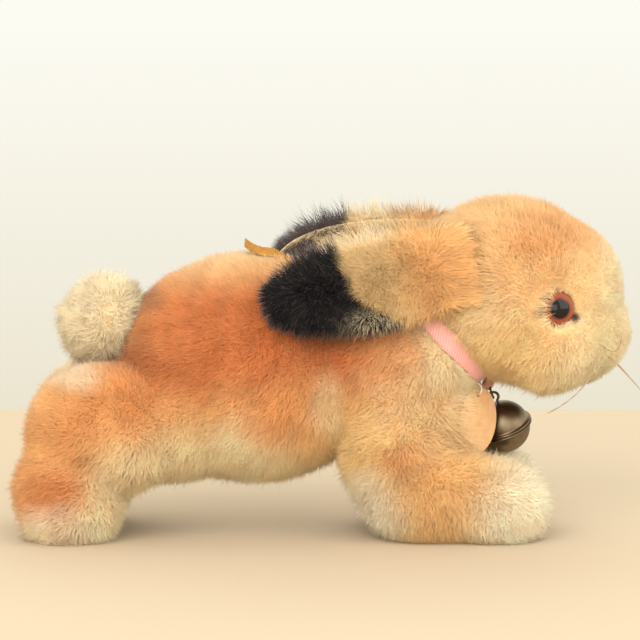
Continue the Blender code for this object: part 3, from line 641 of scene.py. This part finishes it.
# Each patch: colour, strength, centre and radii in shares of the toy's length and height.
BODY_PATCHES = [
    (ORANGE, 0.9, (0.36, 0.60), (0.26, 0.26)),
    (RUST, 0.9, (0.32, 0.62), (0.14, 0.16)),
    # rust on the shoulder, placed higher and made stronger as painted shadow under the ear
    (RUST, 0.9, (0.52, 0.60), (0.12, 0.10)),
    # painted shadow under the ear
    (BROWN, 0.5, (0.51, 0.61), (0.06, 0.03)),
    (RUST, 0.8, (0.20, 0.51), (0.06, 0.07)),
    (PEACH, 0.9, (0.30, 0.95), (0.16, 0.15)),
    (CREAM, 0.8, (0.30, 0.24), (0.17, 0.12)),
    (CREAM, 0.5, (0.36, 0.34), (0.03, 0.08)),
    (ORANGE, 0.6, (0.45, 0.40), (0.05, 0.12)),
    (CREAM, 0.5, (0.49, 0.42), (0.03, 0.10)),
    (CREAM, 0.9, (0.68, 0.50), (0.10, 0.22)),
    (ORANGE, 0.7, (0.59, 0.57), (0.05, 0.08)),
    (HONEY, 0.5, (0.64, 0.40), (0.06, 0.10)),
    (ORANGE, 0.6, (0.39, 0.40), (0.04, 0.07)),
    (ORANGE, 0.7, (0.14, 0.42), (0.10, 0.10)),
    (ORANGE, 0.8, (0.06, 0.26), (0.07, 0.16)),
    (RUST, 0.6, (0.05, 0.14), (0.05, 0.07)),
    (CREAM, 0.8, (0.14, 0.10), (0.04, 0.14)),
    (PALE, 0.5, (0.085, 0.49), (0.045, 0.035)),
    (PALE, 0.8, (0.57, 0.10), (0.05, 0.12)),
    (RUST, 0.5, (0.61, 0.26), (0.03, 0.05)),
    (HONEY, 0.8, (0.67, 0.18), (0.08, 0.12)),
    (PALE, 0.8, (0.80, 0.10), (0.08, 0.14)),
    (PALE, 0.6, (0.06, 0.03), (0.06, 0.08)),
    (SMOKE, 0.35, (0.22, 0.71), (0.014, 0.026)),
    (BROWN, 0.4, (0.20, 0.57), (0.030, 0.060)),
    # painted shadow of the bell on the paw
    (GREY, 0.6, (0.77, 0.27), (0.050, 0.050)),
    # dark hairs below the card disc, spread wider as painted shade there
    (SMOKE, 0.5, (0.71, 0.31), (0.025, 0.040)),
]

HEAD_PATCHES = [
    (HONEY, 0.7, (0.78, 0.92), (0.16, 0.16)),
    (ORANGE, 0.5, (0.86, 0.92), (0.07, 0.06)),
    (CREAM, 0.7, (0.90, 0.62), (0.09, 0.14)),
    (CREAM, 0.8, (0.97, 0.74), (0.05, 0.20)),
    (GOLD, 0.8, (0.78, 0.58), (0.08, 0.10)),
    (CREAM, 0.6, (0.92, 0.50), (0.08, 0.07)),
]


def body_colour(points, normals):
    return painted(points, GOLD, BODY_PATCHES)


def tail_colour(points, normals):
    """Beige, greyer underneath."""
    return mixed(np.tile(BEIGE, (len(points), 1)), GREY, soft_step(0.0, -0.9, normals[:, 2]) * 0.4)


# Each smudge of dark hair by an eye: how far ahead of it and above it, radius and strength.
EYE_SMUDGES = [(5.2, -2.6, 2.0, 0.95), (-5.4, -1.0, 2.4, 0.4), (-3.8, 3.0, 1.9, 0.8)]


def head_colour(points, normals):
    """The head's patches, with dark hairs in front of, behind and above each eye."""
    colours = painted(points, PEACH, HEAD_PATCHES)
    for side in SIDES:
        eye = eye_frame(side)[0]
        for ahead, up, radius, strength in EYE_SMUDGES:
            spot = eye + np.array([ahead, 0.0, up])
            reach = np.linalg.norm((points - spot) * np.array([1.0, 0.35, 1.0]), axis=1)
            colours = mixed(colours, SMOKE * 0.5, strength * (1.0 - soft_step(0.3 * radius, radius, reach)))
    return colours


# Animal ---------------------------------------------------

BODY_NODES = ["body_side_left", "body_side_right", "belly_gusset", "body_stuffing", "body_neck_disc"]
HEAD_NODES = ["head_side_left", "head_side_right", "head_gusset", "head_stuffing", "head_neck_disc"]
TAIL_NODES = ["tail_cover", "tail_stuffing"]
NECK_AXIS = np.array(JOINTS["head_turn"]["axis"])
RIBBON_HALF_WIDTH = 2.7


def eye_frame(side):
    """Centre and outward direction of an eye, from its glass and its shank."""
    glass = middle_of(node_points("eye_glass_" + side))
    shank = middle_of(node_points("eye_shank_" + side))
    return glass, (glass - shank) / np.linalg.norm(glass - shank)


def neck_height(points):
    """Distance along the neck axis from the joint's plane, and across from the axis."""
    offset = points - joint_place("head_turn")
    along = offset @ NECK_AXIS
    return along, np.linalg.norm(offset - along[:, None] * NECK_AXIS, axis=1)


def off_the_neck(points, normals):
    """No pile under the ribbon or on the flat ends of the neck, inside the joint."""
    end_reach, end_radius, end_facing = 4.0, 17.0, 0.8
    along, across = neck_height(points)
    facing = np.abs(normals @ NECK_AXIS)
    under_ribbon = np.abs(along) < RIBBON_HALF_WIDTH
    on_end = (np.abs(along) < end_reach) & (facing > end_facing) & (across < end_radius)
    return 1.0 - (under_ribbon | on_end)


def near_disc(points):
    """Weight of the long chest hair that hangs forward over the rear edge of the card disc."""
    rear_edge = middle_of(node_points("chest_tag")) + np.array([-7.5, -5.0, -1.0])
    offset = (points - rear_edge) / np.array([5.0, 6.0, 9.0])
    return soft_step(1.2, 0.4, np.linalg.norm(offset, axis=1))


def body_flow(points, normals):
    """The nap runs back and down the flanks, down the legs and forward over the paws and the card disc."""
    flank = np.array([-0.75, 0.0, -0.45])
    leg = np.array([0.35, 0.0, -0.8])
    over_disc = np.array([2.6, -0.6, -0.4])
    front = soft_step(2.0, 16.0, points[:, 0]) * soft_step(32.0, 20.0, points[:, 2])
    flow = flank + (leg - flank) * front[:, None]
    return flow + (over_disc - flow) * near_disc(points)[:, None]


def body_length(points, normals):
    """Shorter on the back, longer on the belly and the paws, and longest beside the card disc."""
    low = soft_step(60.0, 20.0, points[:, 2])
    return 3.4 + 0.9 * low + 6.5 * near_disc(points)


def head_keep(points, normals):
    """No pile in the neck or under the eyes. Behind each eye it starts closer to the middle of the glass."""
    other_side = 8.0
    keep = off_the_neck(points, normals)
    for side in SIDES:
        eye, outward = eye_frame(side)
        offset = points - eye
        across = np.linalg.norm(offset - (offset @ outward)[:, None] * outward, axis=1)
        bare = 4.3 - 1.5 * soft_step(0.5, 3.5, -offset[:, 0])
        keep = keep * ((across > bare) | (np.linalg.norm(offset, axis=1) > other_side))
    return keep


def behind_eye(points, side):
    """Weight of the hair that hangs forward over the rear edge of an eye."""
    offset = eye_frame(side)[0] - points
    return soft_step(8.0, 5.5, np.linalg.norm(offset, axis=1)) * soft_step(1.5, 3.5, offset[:, 0])


def above_ear_root(points):
    """Weight of the hair that falls back over the root of an ear."""
    ahead = soft_step(35.0, 38.0, points[:, 0]) * soft_step(48.0, 43.0, points[:, 0])
    return ahead * soft_step(59.0, 63.0, points[:, 2]) * soft_step(10.0, 13.0, np.abs(points[:, 1]))


def head_flow(points, normals):
    """The nap runs back from the nose, over the ear roots and a little down over the cheeks."""
    cheek = soft_step(75.0, 55.0, points[:, 2])
    flow = np.array([-0.8, 0.0, 0.15]) + cheek[:, None] * np.array([0.0, 0.0, -0.5])
    for side in SIDES:
        toward = unit(eye_frame(side)[0] - points)
        flow += (toward * 3.0 - flow) * behind_eye(points, side)[:, None]
    return flow + np.array([-0.6, 0.0, -0.3]) * above_ear_root(points)[:, None]


def head_length(points, normals):
    """Long at the throat and over the ear roots, short about the eyes and nose, parted along the seams."""
    seam = np.exp(-((np.abs(points[:, 1]) - 12.0) / 0.7) ** 2) * (points[:, 2] > 66.0)
    muzzle = soft_step(58.0, 70.0, points[:, 0])
    throat = soft_step(52.0, 44.0, points[:, 2]) * soft_step(62.0, 52.0, points[:, 0])
    to_eye = np.minimum(*(np.linalg.norm(points - eye_frame(side)[0], axis=1) for side in SIDES))
    near_eye = 0.62 + 0.38 * soft_step(4.5, 11.0, to_eye)
    length = (3.7 - 1.3 * seam - 1.6 * muzzle + 1.6 * throat) * near_eye
    length += 3.0 * above_ear_root(points)
    return length + 1.4 * (behind_eye(points, "left") + behind_eye(points, "right"))


def tail_length(points, normals):
    """Uneven, so that the puff looks plucked."""
    return 4.4 + 1.1 * lattice_noise(points, 4.0, SEED + 31)[:, 0]


def tail_flow(points, normals):
    return np.tile(np.array([-0.3, 0.0, -0.2]), (len(points), 1))


def everywhere(points, normals):
    return np.ones(len(points))


def furred(name, nodes, hidden, body, slot, coat, cover, cloth, obstacles=()):
    """A fused skin in place of some panels, with its pile. `cloth` is a material for each."""
    pile, backing = cloth
    skin = fused_skin(name + "_backing", nodes, backing, cover.voxel, cover.rounds, cover.swelling)
    points, normals, _ = mesh_arrays(skin)
    colour_attribute(skin.data, coat.colour(points, normals))
    show(skin, slot, body, *hidden)
    grow_pile(name, skin, body, pile, coat, cover.density, obstacles)


def build_animal(cloth):
    linings = ("ear_lining_right", "ear_lining_left")
    dress = ("ribbon_collar", "ribbon_knot", "chest_tag", "bell_upper_shell", "bell_lower_shell", "cloth_tag")
    over_body = dress + linings
    face = ("ribbon_collar", "nose_stitching", "mouth_stitching", "eye_glass_left", "eye_glass_right")
    over_head = face + linings
    body = Coat(body_colour, body_length, body_flow, off_the_neck, width=0.14, lean=0.5, tuft=0.16)
    head = Coat(head_colour, head_length, head_flow, head_keep, width=0.13, lean=0.5, tuft=0.15)
    tail = Coat(tail_colour, tail_length, tail_flow, everywhere, width=0.14, lean=0.6, tuft=0.6)
    furred("body", BODY_NODES, BODY_NODES[:3], "toy_body", "mohair_rust", body, STUFFED, cloth, over_body)
    furred("head", HEAD_NODES, HEAD_NODES[:3], "head", "mohair_gold", head, STUFFED, cloth, over_head)
    furred("tail", TAIL_NODES, TAIL_NODES[:1], "toy_body", "mohair_cream", tail, STUFFED, cloth)
    for side in SIDES:
        build_ear(side, cloth)


# Ears -----------------------------------------------------

# overhang is the share of the rim's hair that hangs in over the lining. The photo shows it on the far ear.
Ear = namedtuple("Ear", "root length along across out overhang")
EAR_HALF_WIDTH = 11.0
OVERHANG = {"left": 1.0, "right": 0.0}


def ear_frame(side):
    """Root, length and directions of an ear: along it, across it (upwards) and outwards."""
    outer = node_points("ear_outer_" + side)
    root = joint_place(f"ear_{side}_lift")
    reach = outer - root
    tip = reach[np.argmax(np.linalg.norm(reach, axis=1))]
    lining = node_points("ear_lining_" + side)
    out = outer.mean(axis=0) - lining.mean(axis=0)
    length = np.linalg.norm(tip)
    along = tip / length
    across = np.cross(along, out)
    across = across / np.linalg.norm(across)
    across = across * np.sign(across[2])
    out = out - along * (out @ along)
    return Ear(root, length, along, across, out / np.linalg.norm(out), OVERHANG[side])


def ear_shares(ear, points):
    """How far along an ear points are, from root to tip, and how far across, from its middle line."""
    offset = points - ear.root
    return offset @ ear.along / ear.length, offset @ ear.across / EAR_HALF_WIDTH


def dark_end_colour(ear, t, v, normals):
    """Black, smoky inside, with a few stray strands lighter as painted sheen, grizzled with beige along the
    lower edge.
    """
    strands = hashed(np.arange(len(t)) * 7919 + 13)
    dark = mixed(np.tile(SOOT, (len(t), 1)), SMOKE, soft_step(0.5, -0.2, normals @ ear.out) * 0.9)
    # painted sheen: a few stray strands are lightened to stand for the shine on the black
    dark = mixed(dark, SMOKE, (strands < -0.85) * 0.6)
    grizzled = soft_step(0.5, 0.9, -v) * soft_step(0.72, 0.5, t) * (strands > 0.1)
    return mixed(dark, BEIGE * 0.8, grizzled * 0.8)


def ear_colour(ear, points, normals):
    """Honey and orange at the root, wheat further out, cream along the upper edge, and a black end."""
    t, v = ear_shares(ear, points)
    t = t + lattice_noise(points, 2.5, SEED + 21)[:, 0] * 0.02
    base = mixed(np.tile(HONEY, (len(points), 1)), WHEAT, soft_step(0.15, 0.45, t))
    base = mixed(base, ORANGE, soft_step(0.34, 0.1, t) * soft_step(0.9, 0.2, np.abs(v)) * 0.3)
    base = mixed(base, CREAM, soft_step(0.6, 1.0, v) * soft_step(0.25, 0.45, t))
    edge = 0.58 + 0.04 * v - 0.16 * np.maximum(0.0, -v) ** 2
    return mixed(base, dark_end_colour(ear, t, v, normals), soft_step(edge - 0.03, edge + 0.03, t))


def ear_length(ear, points, normals):
    """Longest along the upper rim, and a little longer where the hair covers the seam at the root."""
    rim = np.exp(-((normals @ ear.out) / 0.4) ** 2)
    t, v = ear_shares(ear, points)
    return 3.6 + 3.8 * rim * soft_step(0.2, 0.6, v) * soft_step(0.0, 0.25, t) + 1.2 * soft_step(0.10, 0.0, t)


def ear_flow(ear, points, normals):
    """Forward over the seam at the root, back to the tip, fanned to the edges, and over the rim inwards."""
    t, v = ear_shares(ear, points)
    fan = ear.across[None, :] * v[:, None] * 0.9
    rim = np.maximum(soft_step(0.2, 0.6, v), soft_step(0.8, 0.95, t))
    hanging = ear.overhang * rim * (hashed(np.arange(len(points)) * 6151 + 5) > -0.2)
    over = (ear.out[None, :] * 2.0 + ear.across[None, :] * 1.2) * hanging[:, None]
    lie = 0.35 + 0.5 * soft_step(0.7, 1.0, t) - 3.0 * soft_step(0.18, 0.04, t)
    return ear.along[None, :] * lie[:, None] + fan - over


def ear_keep(ear, points, normals):
    """Pile on the outside, and on the inside only along the upper rim and at the tip."""
    t, v = ear_shares(ear, points)
    rim = np.maximum(soft_step(0.40, 0.55, v), soft_step(0.76, 0.84, t))
    return np.maximum(soft_step(-0.55, -0.2, normals @ ear.out), rim)


def build_ear(side, cloth):
    """One ear: a mohair leaf with a black end and a long fringe, and its velvet lining."""
    ear = ear_frame(side)
    parts = [partial(part, ear) for part in (ear_colour, ear_length, ear_flow, ear_keep)]
    coat = Coat(*parts, width=0.14, lean=0.65, tuft=0.25)
    name, leaf, lining = "ear_" + side, "ear_outer_" + side, "ear_lining_" + side
    furred(name, [leaf], [leaf], name, "mohair_gold", coat, LEAF, cloth)
    velvet = mottled_material("velvet_" + side, VELVET * 0.9, VELVET, 900.0, 0.85, relief=0.05, specular=0.15)
    skin = fused_skin("ear_velvet_" + side, [lining], velvet, voxel=0.35, rounds=3)
    show(skin, "velvet", name, lining)


# Eyes and nose --------------------------------------------

def build_eye(side):
    """A painted glass eye: black pupil, terracotta iris and a clear domed face."""
    centre, outward = eye_frame(side)
    radius, dome, steps = 4.95, 3.6, 40
    black = srgb(12, 9, 9)
    rings = [(0.0, black), (2.45, black), (2.6, srgb(84, 36, 28)), (3.2, srgb(140, 72, 46)),
             (4.3, srgb(158, 80, 56)), (4.7, srgb(108, 54, 40)), (radius, srgb(70, 40, 34))]
    material, shader = radial_material("glass_eye_" + side, rings, 0.6)
    shader.inputs["Specular IOR Level"].default_value = 0.0
    shader.inputs["Coat Weight"].default_value = 1.0
    shader.inputs["Coat Roughness"].default_value = 0.02
    shader.inputs["Coat IOR"].default_value = 1.4
    angles = [math.pi * i / steps for i in range(steps + 1)]
    profile = [(radius * math.sin(angle), dome * math.cos(angle)) for angle in angles]
    eye = turned("glass_eye_" + side, profile, placement(centre, outward), material)
    show(eye, "glass_eye", "head", "eye_glass_" + side)


def thread(name, points, radius, material):
    """A round thread along points in millimetres, closed at both ends."""
    sides = 6
    angles = [2.0 * math.pi * k / sides for k in range(sides)]
    rows = []
    side = Vector((0.0, 0.0, 1.0))
    for i, point in enumerate(points):
        before, after = points[max(i - 1, 0)], points[min(i + 1, len(points) - 1)]
        along = (Vector(after) - Vector(before)).normalized()
        if abs(along.dot(side)) > 0.97:
            side = Vector((0.0, 1.0, 0.0))
        side = (side - along * side.dot(along)).normalized()
        other = along.cross(side)
        ring = [side * math.cos(angle) + other * math.sin(angle) for angle in angles]
        rows.append([(Vector(point) + spoke * radius) * MM for spoke in ring])
    obj = grid_object(name, rows, material, closed_columns=True)
    edited(obj, close_ends)
    return obj


def close_ends(bm):
    bmesh.ops.holes_fill(bm, edges=[edge for edge in bm.edges if edge.is_boundary], sides=0)


def build_nose(material):
    """Satin stitches that fan out from the point of the nose, laid on the frame's stitched patch."""
    points = node_points("nose_stitching")
    tree = tree_of("nose_stitching")
    low, high = points.min(axis=0), points.max(axis=0)
    count, steps, radius = 11, 8, 0.34
    stitches = []
    for i in range(count):
        share = 2.0 * i / (count - 1.0) - 1.0
        path = []
        for step in range(steps + 1):
            t = step / steps
            y = share * (high[1] - 0.4) * (1.0 - 0.75 * t)
            z = high[2] - 0.3 + (low[2] + 0.4 - high[2]) * t
            hit = tree.ray_cast(Vector((200.0, y, z)), Vector((-1.0, 0.0, 0.0)))[0]
            if hit is not None:
                path.append(hit)
        if len(path) > 2:
            stitches.append(thread(f"nose_stitch_{i + 1}", path, radius, material))
    show(stitches[0], "thread_pink", "head", "nose_stitching")
    for stitch in stitches[1:]:
        show(stitch, "thread_pink", "head")


# Ribbon, bell and tags ------------------------------------

def build_ribbon(material):
    """The satin band round the neck, slightly rippled and bowed, with a thickness."""
    along, across = neck_height(node_points("ribbon_collar"))
    half_width, radius, thickness = along.max(), across.max(), 0.35
    steps, columns = 180, 8
    matrix = placement(joint_place("head_turn"), NECK_AXIS)
    rows, uvs = [], []
    for step in range(steps):
        angle = 2.0 * math.pi * step / steps
        ripple = 0.10 * math.sin(9.0 * angle + 1.0) + 0.07 * math.sin(23.0 * angle)
        row = []
        for k in range(2 * columns):
            outside = k < columns
            t = (k if outside else 2 * columns - 1 - k) / (columns - 1.0)
            bow = 0.16 * (1.0 - (2.0 * t - 1.0) ** 2)
            r = radius + ripple + bow - (0.0 if outside else thickness)
            z = half_width * (2.0 * t - 1.0)
            wavy = z + 0.12 * math.sin(5.0 * angle)
            row.append(matrix @ (Vector((r * math.cos(angle), r * math.sin(angle), wavy)) * MM))
            uvs.append((radius * angle, z))
        rows.append(row)
    ribbon = grid_object("satin_ribbon", rows, material, closed_rows=True, closed_columns=True)
    layer = ribbon.data.uv_layers.new(name="ribbon")
    for loop in ribbon.data.loops:
        layer.data[loop.index].uv = uvs[loop.vertex_index]
    show(ribbon, "ribbon", "toy_body", "ribbon_collar")


def bell_profile(radius, wall, bead):
    """Closed section of half a pressed bell, from its rolled rim to the crown, as (radius, height) points."""
    steps, roll_steps, rim_overhang, lift, inner_start = 22, 10, 0.35, 0.02, 0.06
    quarter = math.pi / 2.0
    start = math.asin(2.0 * bead / radius)
    section = []
    for i in range(roll_steps + 1):
        angle = -quarter + math.pi * i / roll_steps
        section.append((radius + rim_overhang + bead * math.cos(angle), bead + lift + bead * math.sin(angle)))
    for i in range(steps + 1):
        angle = start + (quarter - start) * i / steps
        section.append((radius * math.cos(angle), radius * math.sin(angle)))
    for i in range(steps + 1):
        angle = quarter - (quarter - inner_start) * i / steps
        section.append(((radius - wall) * math.cos(angle), (radius - wall) * math.sin(angle)))
    return section + section[:1]


def build_bell(material):
    """Two hollow halves back to back, the lower one with a slot."""
    upper, lower = "bell_upper_shell", "bell_lower_shell"
    centre = middle_of(node_points(upper, lower))
    up = np.array(JOINTS["bell_rattle"]["axis"])
    profile = bell_profile(radius=7.3, wall=0.5, bead=0.36)
    halves = [
        turned("bronze_upper_half", profile, placement(centre, up), material),
        turned("bronze_lower_half", profile, placement(centre, -up), material),
    ]
    cut_slot(halves[1])
    for half, shell in zip(halves, (upper, lower)):
        show(half, "bell_metal", "bell", shell)


def cut_slot(half):
    """The straight slot in the crown of the lower half, ending in two round holes."""
    length, width, hole_radius = 9.0, 1.0, 0.95
    slot_depth, slot_height, hole_depth, hole_height = 6.0, 6.5, 8.0, 5.5
    bm = bmesh.new()
    box = Matrix.Diagonal((length * MM, width * MM, slot_depth * MM, 1.0))
    bmesh.ops.create_cube(bm, size=1.0, matrix=Matrix.Translation((0.0, 0.0, slot_height * MM)) @ box)
    for x in (-0.5 * length, 0.5 * length):
        place = Matrix.Translation((x * MM, 0.0, hole_height * MM))
        bmesh.ops.create_cone(bm, cap_ends=True, segments=24, radius1=hole_radius * MM,
                              radius2=hole_radius * MM, depth=hole_depth * MM, matrix=place)
    mesh = bpy.data.meshes.new("slot")
    bm.to_mesh(mesh)
    bm.free()
    tool = link(bpy.data.objects.new("slot", mesh))
    tool.matrix_world = half.matrix_world.copy()
    cut = half.modifiers.new("slot", "BOOLEAN")
    cut.operation = "DIFFERENCE"
    cut.use_self = True
    cut.object = tool
    bake_modifiers(half)
    bpy.data.objects.remove(tool, do_unlink=True)


def build_cloth_tag():
    """The flag of ochre tape sewn to the back."""
    dark, light = srgb(160, 108, 40), srgb(186, 134, 56)
    material = mottled_material("ochre_tape", dark, light, 900.0, 0.9, relief=0.04, specular=0.2)
    tag = fused_skin("ochre_flag", ["cloth_tag"], material, voxel=0.16, rounds=2)
    show(tag, "tag_cloth", "toy_body", "cloth_tag")


def dress_nodes(pink):
    """Procedural finishes for the frame nodes that stay as they are."""
    wool = mottled_material("wood_wool", srgb(150, 122, 80), srgb(214, 190, 140), 260.0, 0.95, relief=0.3,
                            stretch=(1.0, 4.0, 1.0))
    cotton = mottled_material("cotton", srgb(226, 218, 200), srgb(246, 240, 226), 300.0, 0.9, relief=0.2)
    board = mottled_material("cardboard", srgb(140, 106, 74), srgb(168, 132, 96), 200.0, 0.9, relief=0.05)
    steel = mottled_material("steel", srgb(128, 126, 122), srgb(176, 174, 168), 600.0, 0.35, metallic=1.0)
    bronze = bronze_material("bell_wire")
    brown = mottled_material("brown_thread", srgb(146, 118, 90), srgb(186, 160, 130), 500.0, 0.5)
    card = card_material()
    knot = mottled_material("knot_satin", srgb(228, 150, 146), srgb(244, 178, 172), 500.0, 0.4, relief=0.08)
    finishes = [
        (wool, ["body_stuffing", "head_stuffing"]),
        (cotton, ["tail_stuffing", "chest_tag_thread"]),
        (board, ["body_neck_disc", "head_neck_disc"]),
        (steel, ["body_neck_washer", "head_neck_washer", "neck_cotter_pin", "eye_shank_left",
                 "eye_shank_right", "bell_pellet"]),
        (bronze, ["bell_jump_ring", "bell_loop"]),
        (pink, ["mouth_stitching"]),
        (card, ["chest_tag"]),
        (knot, ["ribbon_knot"]),
        (brown, [name for name in frame["nodes"] if name.startswith("whisker")]),
    ]
    for material, names in finishes:
        for name in names:
            materials = frame["nodes"][name].data.materials
            materials.clear()
            materials.append(material)


def bronze_material(name):
    """Old dark bronze: brown tarnish with a few rubbed, lighter places."""
    material, tree, shader = new_material(name, srgb(110, 94, 74), 0.42, metallic=1.0)
    tones = [(0.30, srgb(96, 82, 64)), (0.55, srgb(124, 108, 86)), (0.75, srgb(150, 132, 104))]
    noise_into(tree, shader.inputs["Base Color"], 220.0, tones)
    return material


def card_material():
    """Blank pressed card, peach, with faint grain and small brown flecks."""
    material, tree, shader = new_material("blank_card", srgb(244, 196, 142), 0.5, specular=0.35)
    tones = [(0.30, srgb(226, 176, 122)), (0.62, srgb(236, 190, 138)), (0.80, srgb(206, 140, 90))]
    noise_into(tree, shader.inputs["Base Color"], 420.0, tones)
    return material


# Scene ----------------------------------------------------

def add_camera():
    """Side-on and slightly above, through a long lens. The view is 172.8 mm wide at the near feet."""
    lens, view_width, sensor, elevation = 160.0, 172.8, 36.0, math.radians(6.0)
    camera = link(bpy.data.objects.new("camera", bpy.data.cameras.new("camera")))
    camera.data.lens = lens
    target = Vector((-3.8, -15.0, 60.1)) * MM
    distance = view_width * lens / sensor * MM
    camera.location = target + Vector((0.0, -math.cos(elevation), math.sin(elevation))) * distance
    camera.rotation_euler = (target - camera.location).to_track_quat("-Z", "Y").to_euler()
    bpy.context.scene.camera = camera


# Each lamp: place and size in metres, power in watts, and colour.
LAMPS = {
    "key": ((-0.35, -0.8, 0.6), 0.7, 5.4, (1.0, 0.97, 0.93)),
    "fill": ((0.7, -0.5, 0.4), 0.7, 2.8, (1.0, 0.97, 0.92)),
    "front": ((0.0, -0.9, 0.12), 0.6, 2.5, (1.0, 0.97, 0.93)),
    "rim": ((0.05, 0.7, 0.7), 0.7, 1.8, (1.0, 0.98, 0.95)),
}


def add_lamps():
    """Soft square lamps aimed at the middle of the toy."""
    aim = Vector((0.0, 0.0, 0.04))
    for name, (place, size, power, colour) in LAMPS.items():
        data = bpy.data.lights.new(name, "AREA")
        data.size = size
        data.energy = power
        data.color = colour
        lamp = link(bpy.data.objects.new(name, data))
        lamp.location = place
        lamp.rotation_euler = (aim - Vector(place)).to_track_quat("-Z", "Y").to_euler()


def add_floor():
    """A plain pale floor that ends a little behind the toy."""
    wide, near, back = 1.6, -1.6, 0.246
    colour = srgb(204, 186, 160)
    corners = [(-wide, near, 0), (wide, near, 0), (wide, back, 0), (-wide, back, 0)]
    mesh = bpy.data.meshes.new("floor")
    mesh.from_pydata(corners, [], [(0, 1, 2, 3)])
    material, tree, shader = new_material("floor", colour, 0.85, specular=0.1)
    noise_into(tree, shader.inputs["Base Color"], 14.0, [(0.3, colour * 0.985), (0.7, colour)])
    mesh.materials.append(material)
    link(bpy.data.objects.new("floor", mesh))


def ranged(tree, source, from_range, to_range):
    """A value carried linearly from one range to another."""
    node = tree.nodes.new("ShaderNodeMapRange")
    for label, values in (("From", from_range), ("To", to_range)):
        node.inputs[label + " Min"].default_value = values[0]
        node.inputs[label + " Max"].default_value = values[1]
    tree.links.new(source, node.inputs["Value"])
    return node.outputs["Result"]


def add_surround():
    """A surround that pales upwards from cream, and lights a little more than it shows."""
    world = bpy.data.worlds.new("studio")
    world.use_nodes = True
    tree = world.node_tree
    background = tree.nodes["Background"]
    sky = tree.nodes.new("ShaderNodeTexCoord")
    direction = tree.nodes.new("ShaderNodeSeparateXYZ")
    tree.links.new(sky.outputs["Generated"], direction.inputs["Vector"])
    height = ranged(tree, direction.outputs["Z"], (-0.134, 0.0), (0.0, 1.0))
    tones = [(0.0, srgb(236, 229, 208)), (1.0, srgb(253, 252, 243))]
    ramp_into(tree, height, background.inputs["Color"], tones)
    rays = tree.nodes.new("ShaderNodeLightPath")
    strength = ranged(tree, rays.outputs["Is Camera Ray"], (0.0, 1.0), (1.15, 1.0))
    tree.links.new(strength, background.inputs["Strength"])
    bpy.context.scene.world = world


def main():
    build_animal((pile_material(), backing_material()))
    for side in SIDES:
        build_eye(side)
    pink = mottled_material("pink_thread", srgb(214, 140, 124), srgb(236, 172, 156), 900.0, 0.5)
    build_nose(pink)
    build_ribbon(satin_material())
    build_bell(bronze_material("old_bronze"))
    build_cloth_tag()
    dress_nodes(pink)
    add_camera()
    add_floor()
    add_lamps()
    add_surround()
    bpy.context.scene.view_settings.view_transform = "Standard"


main()
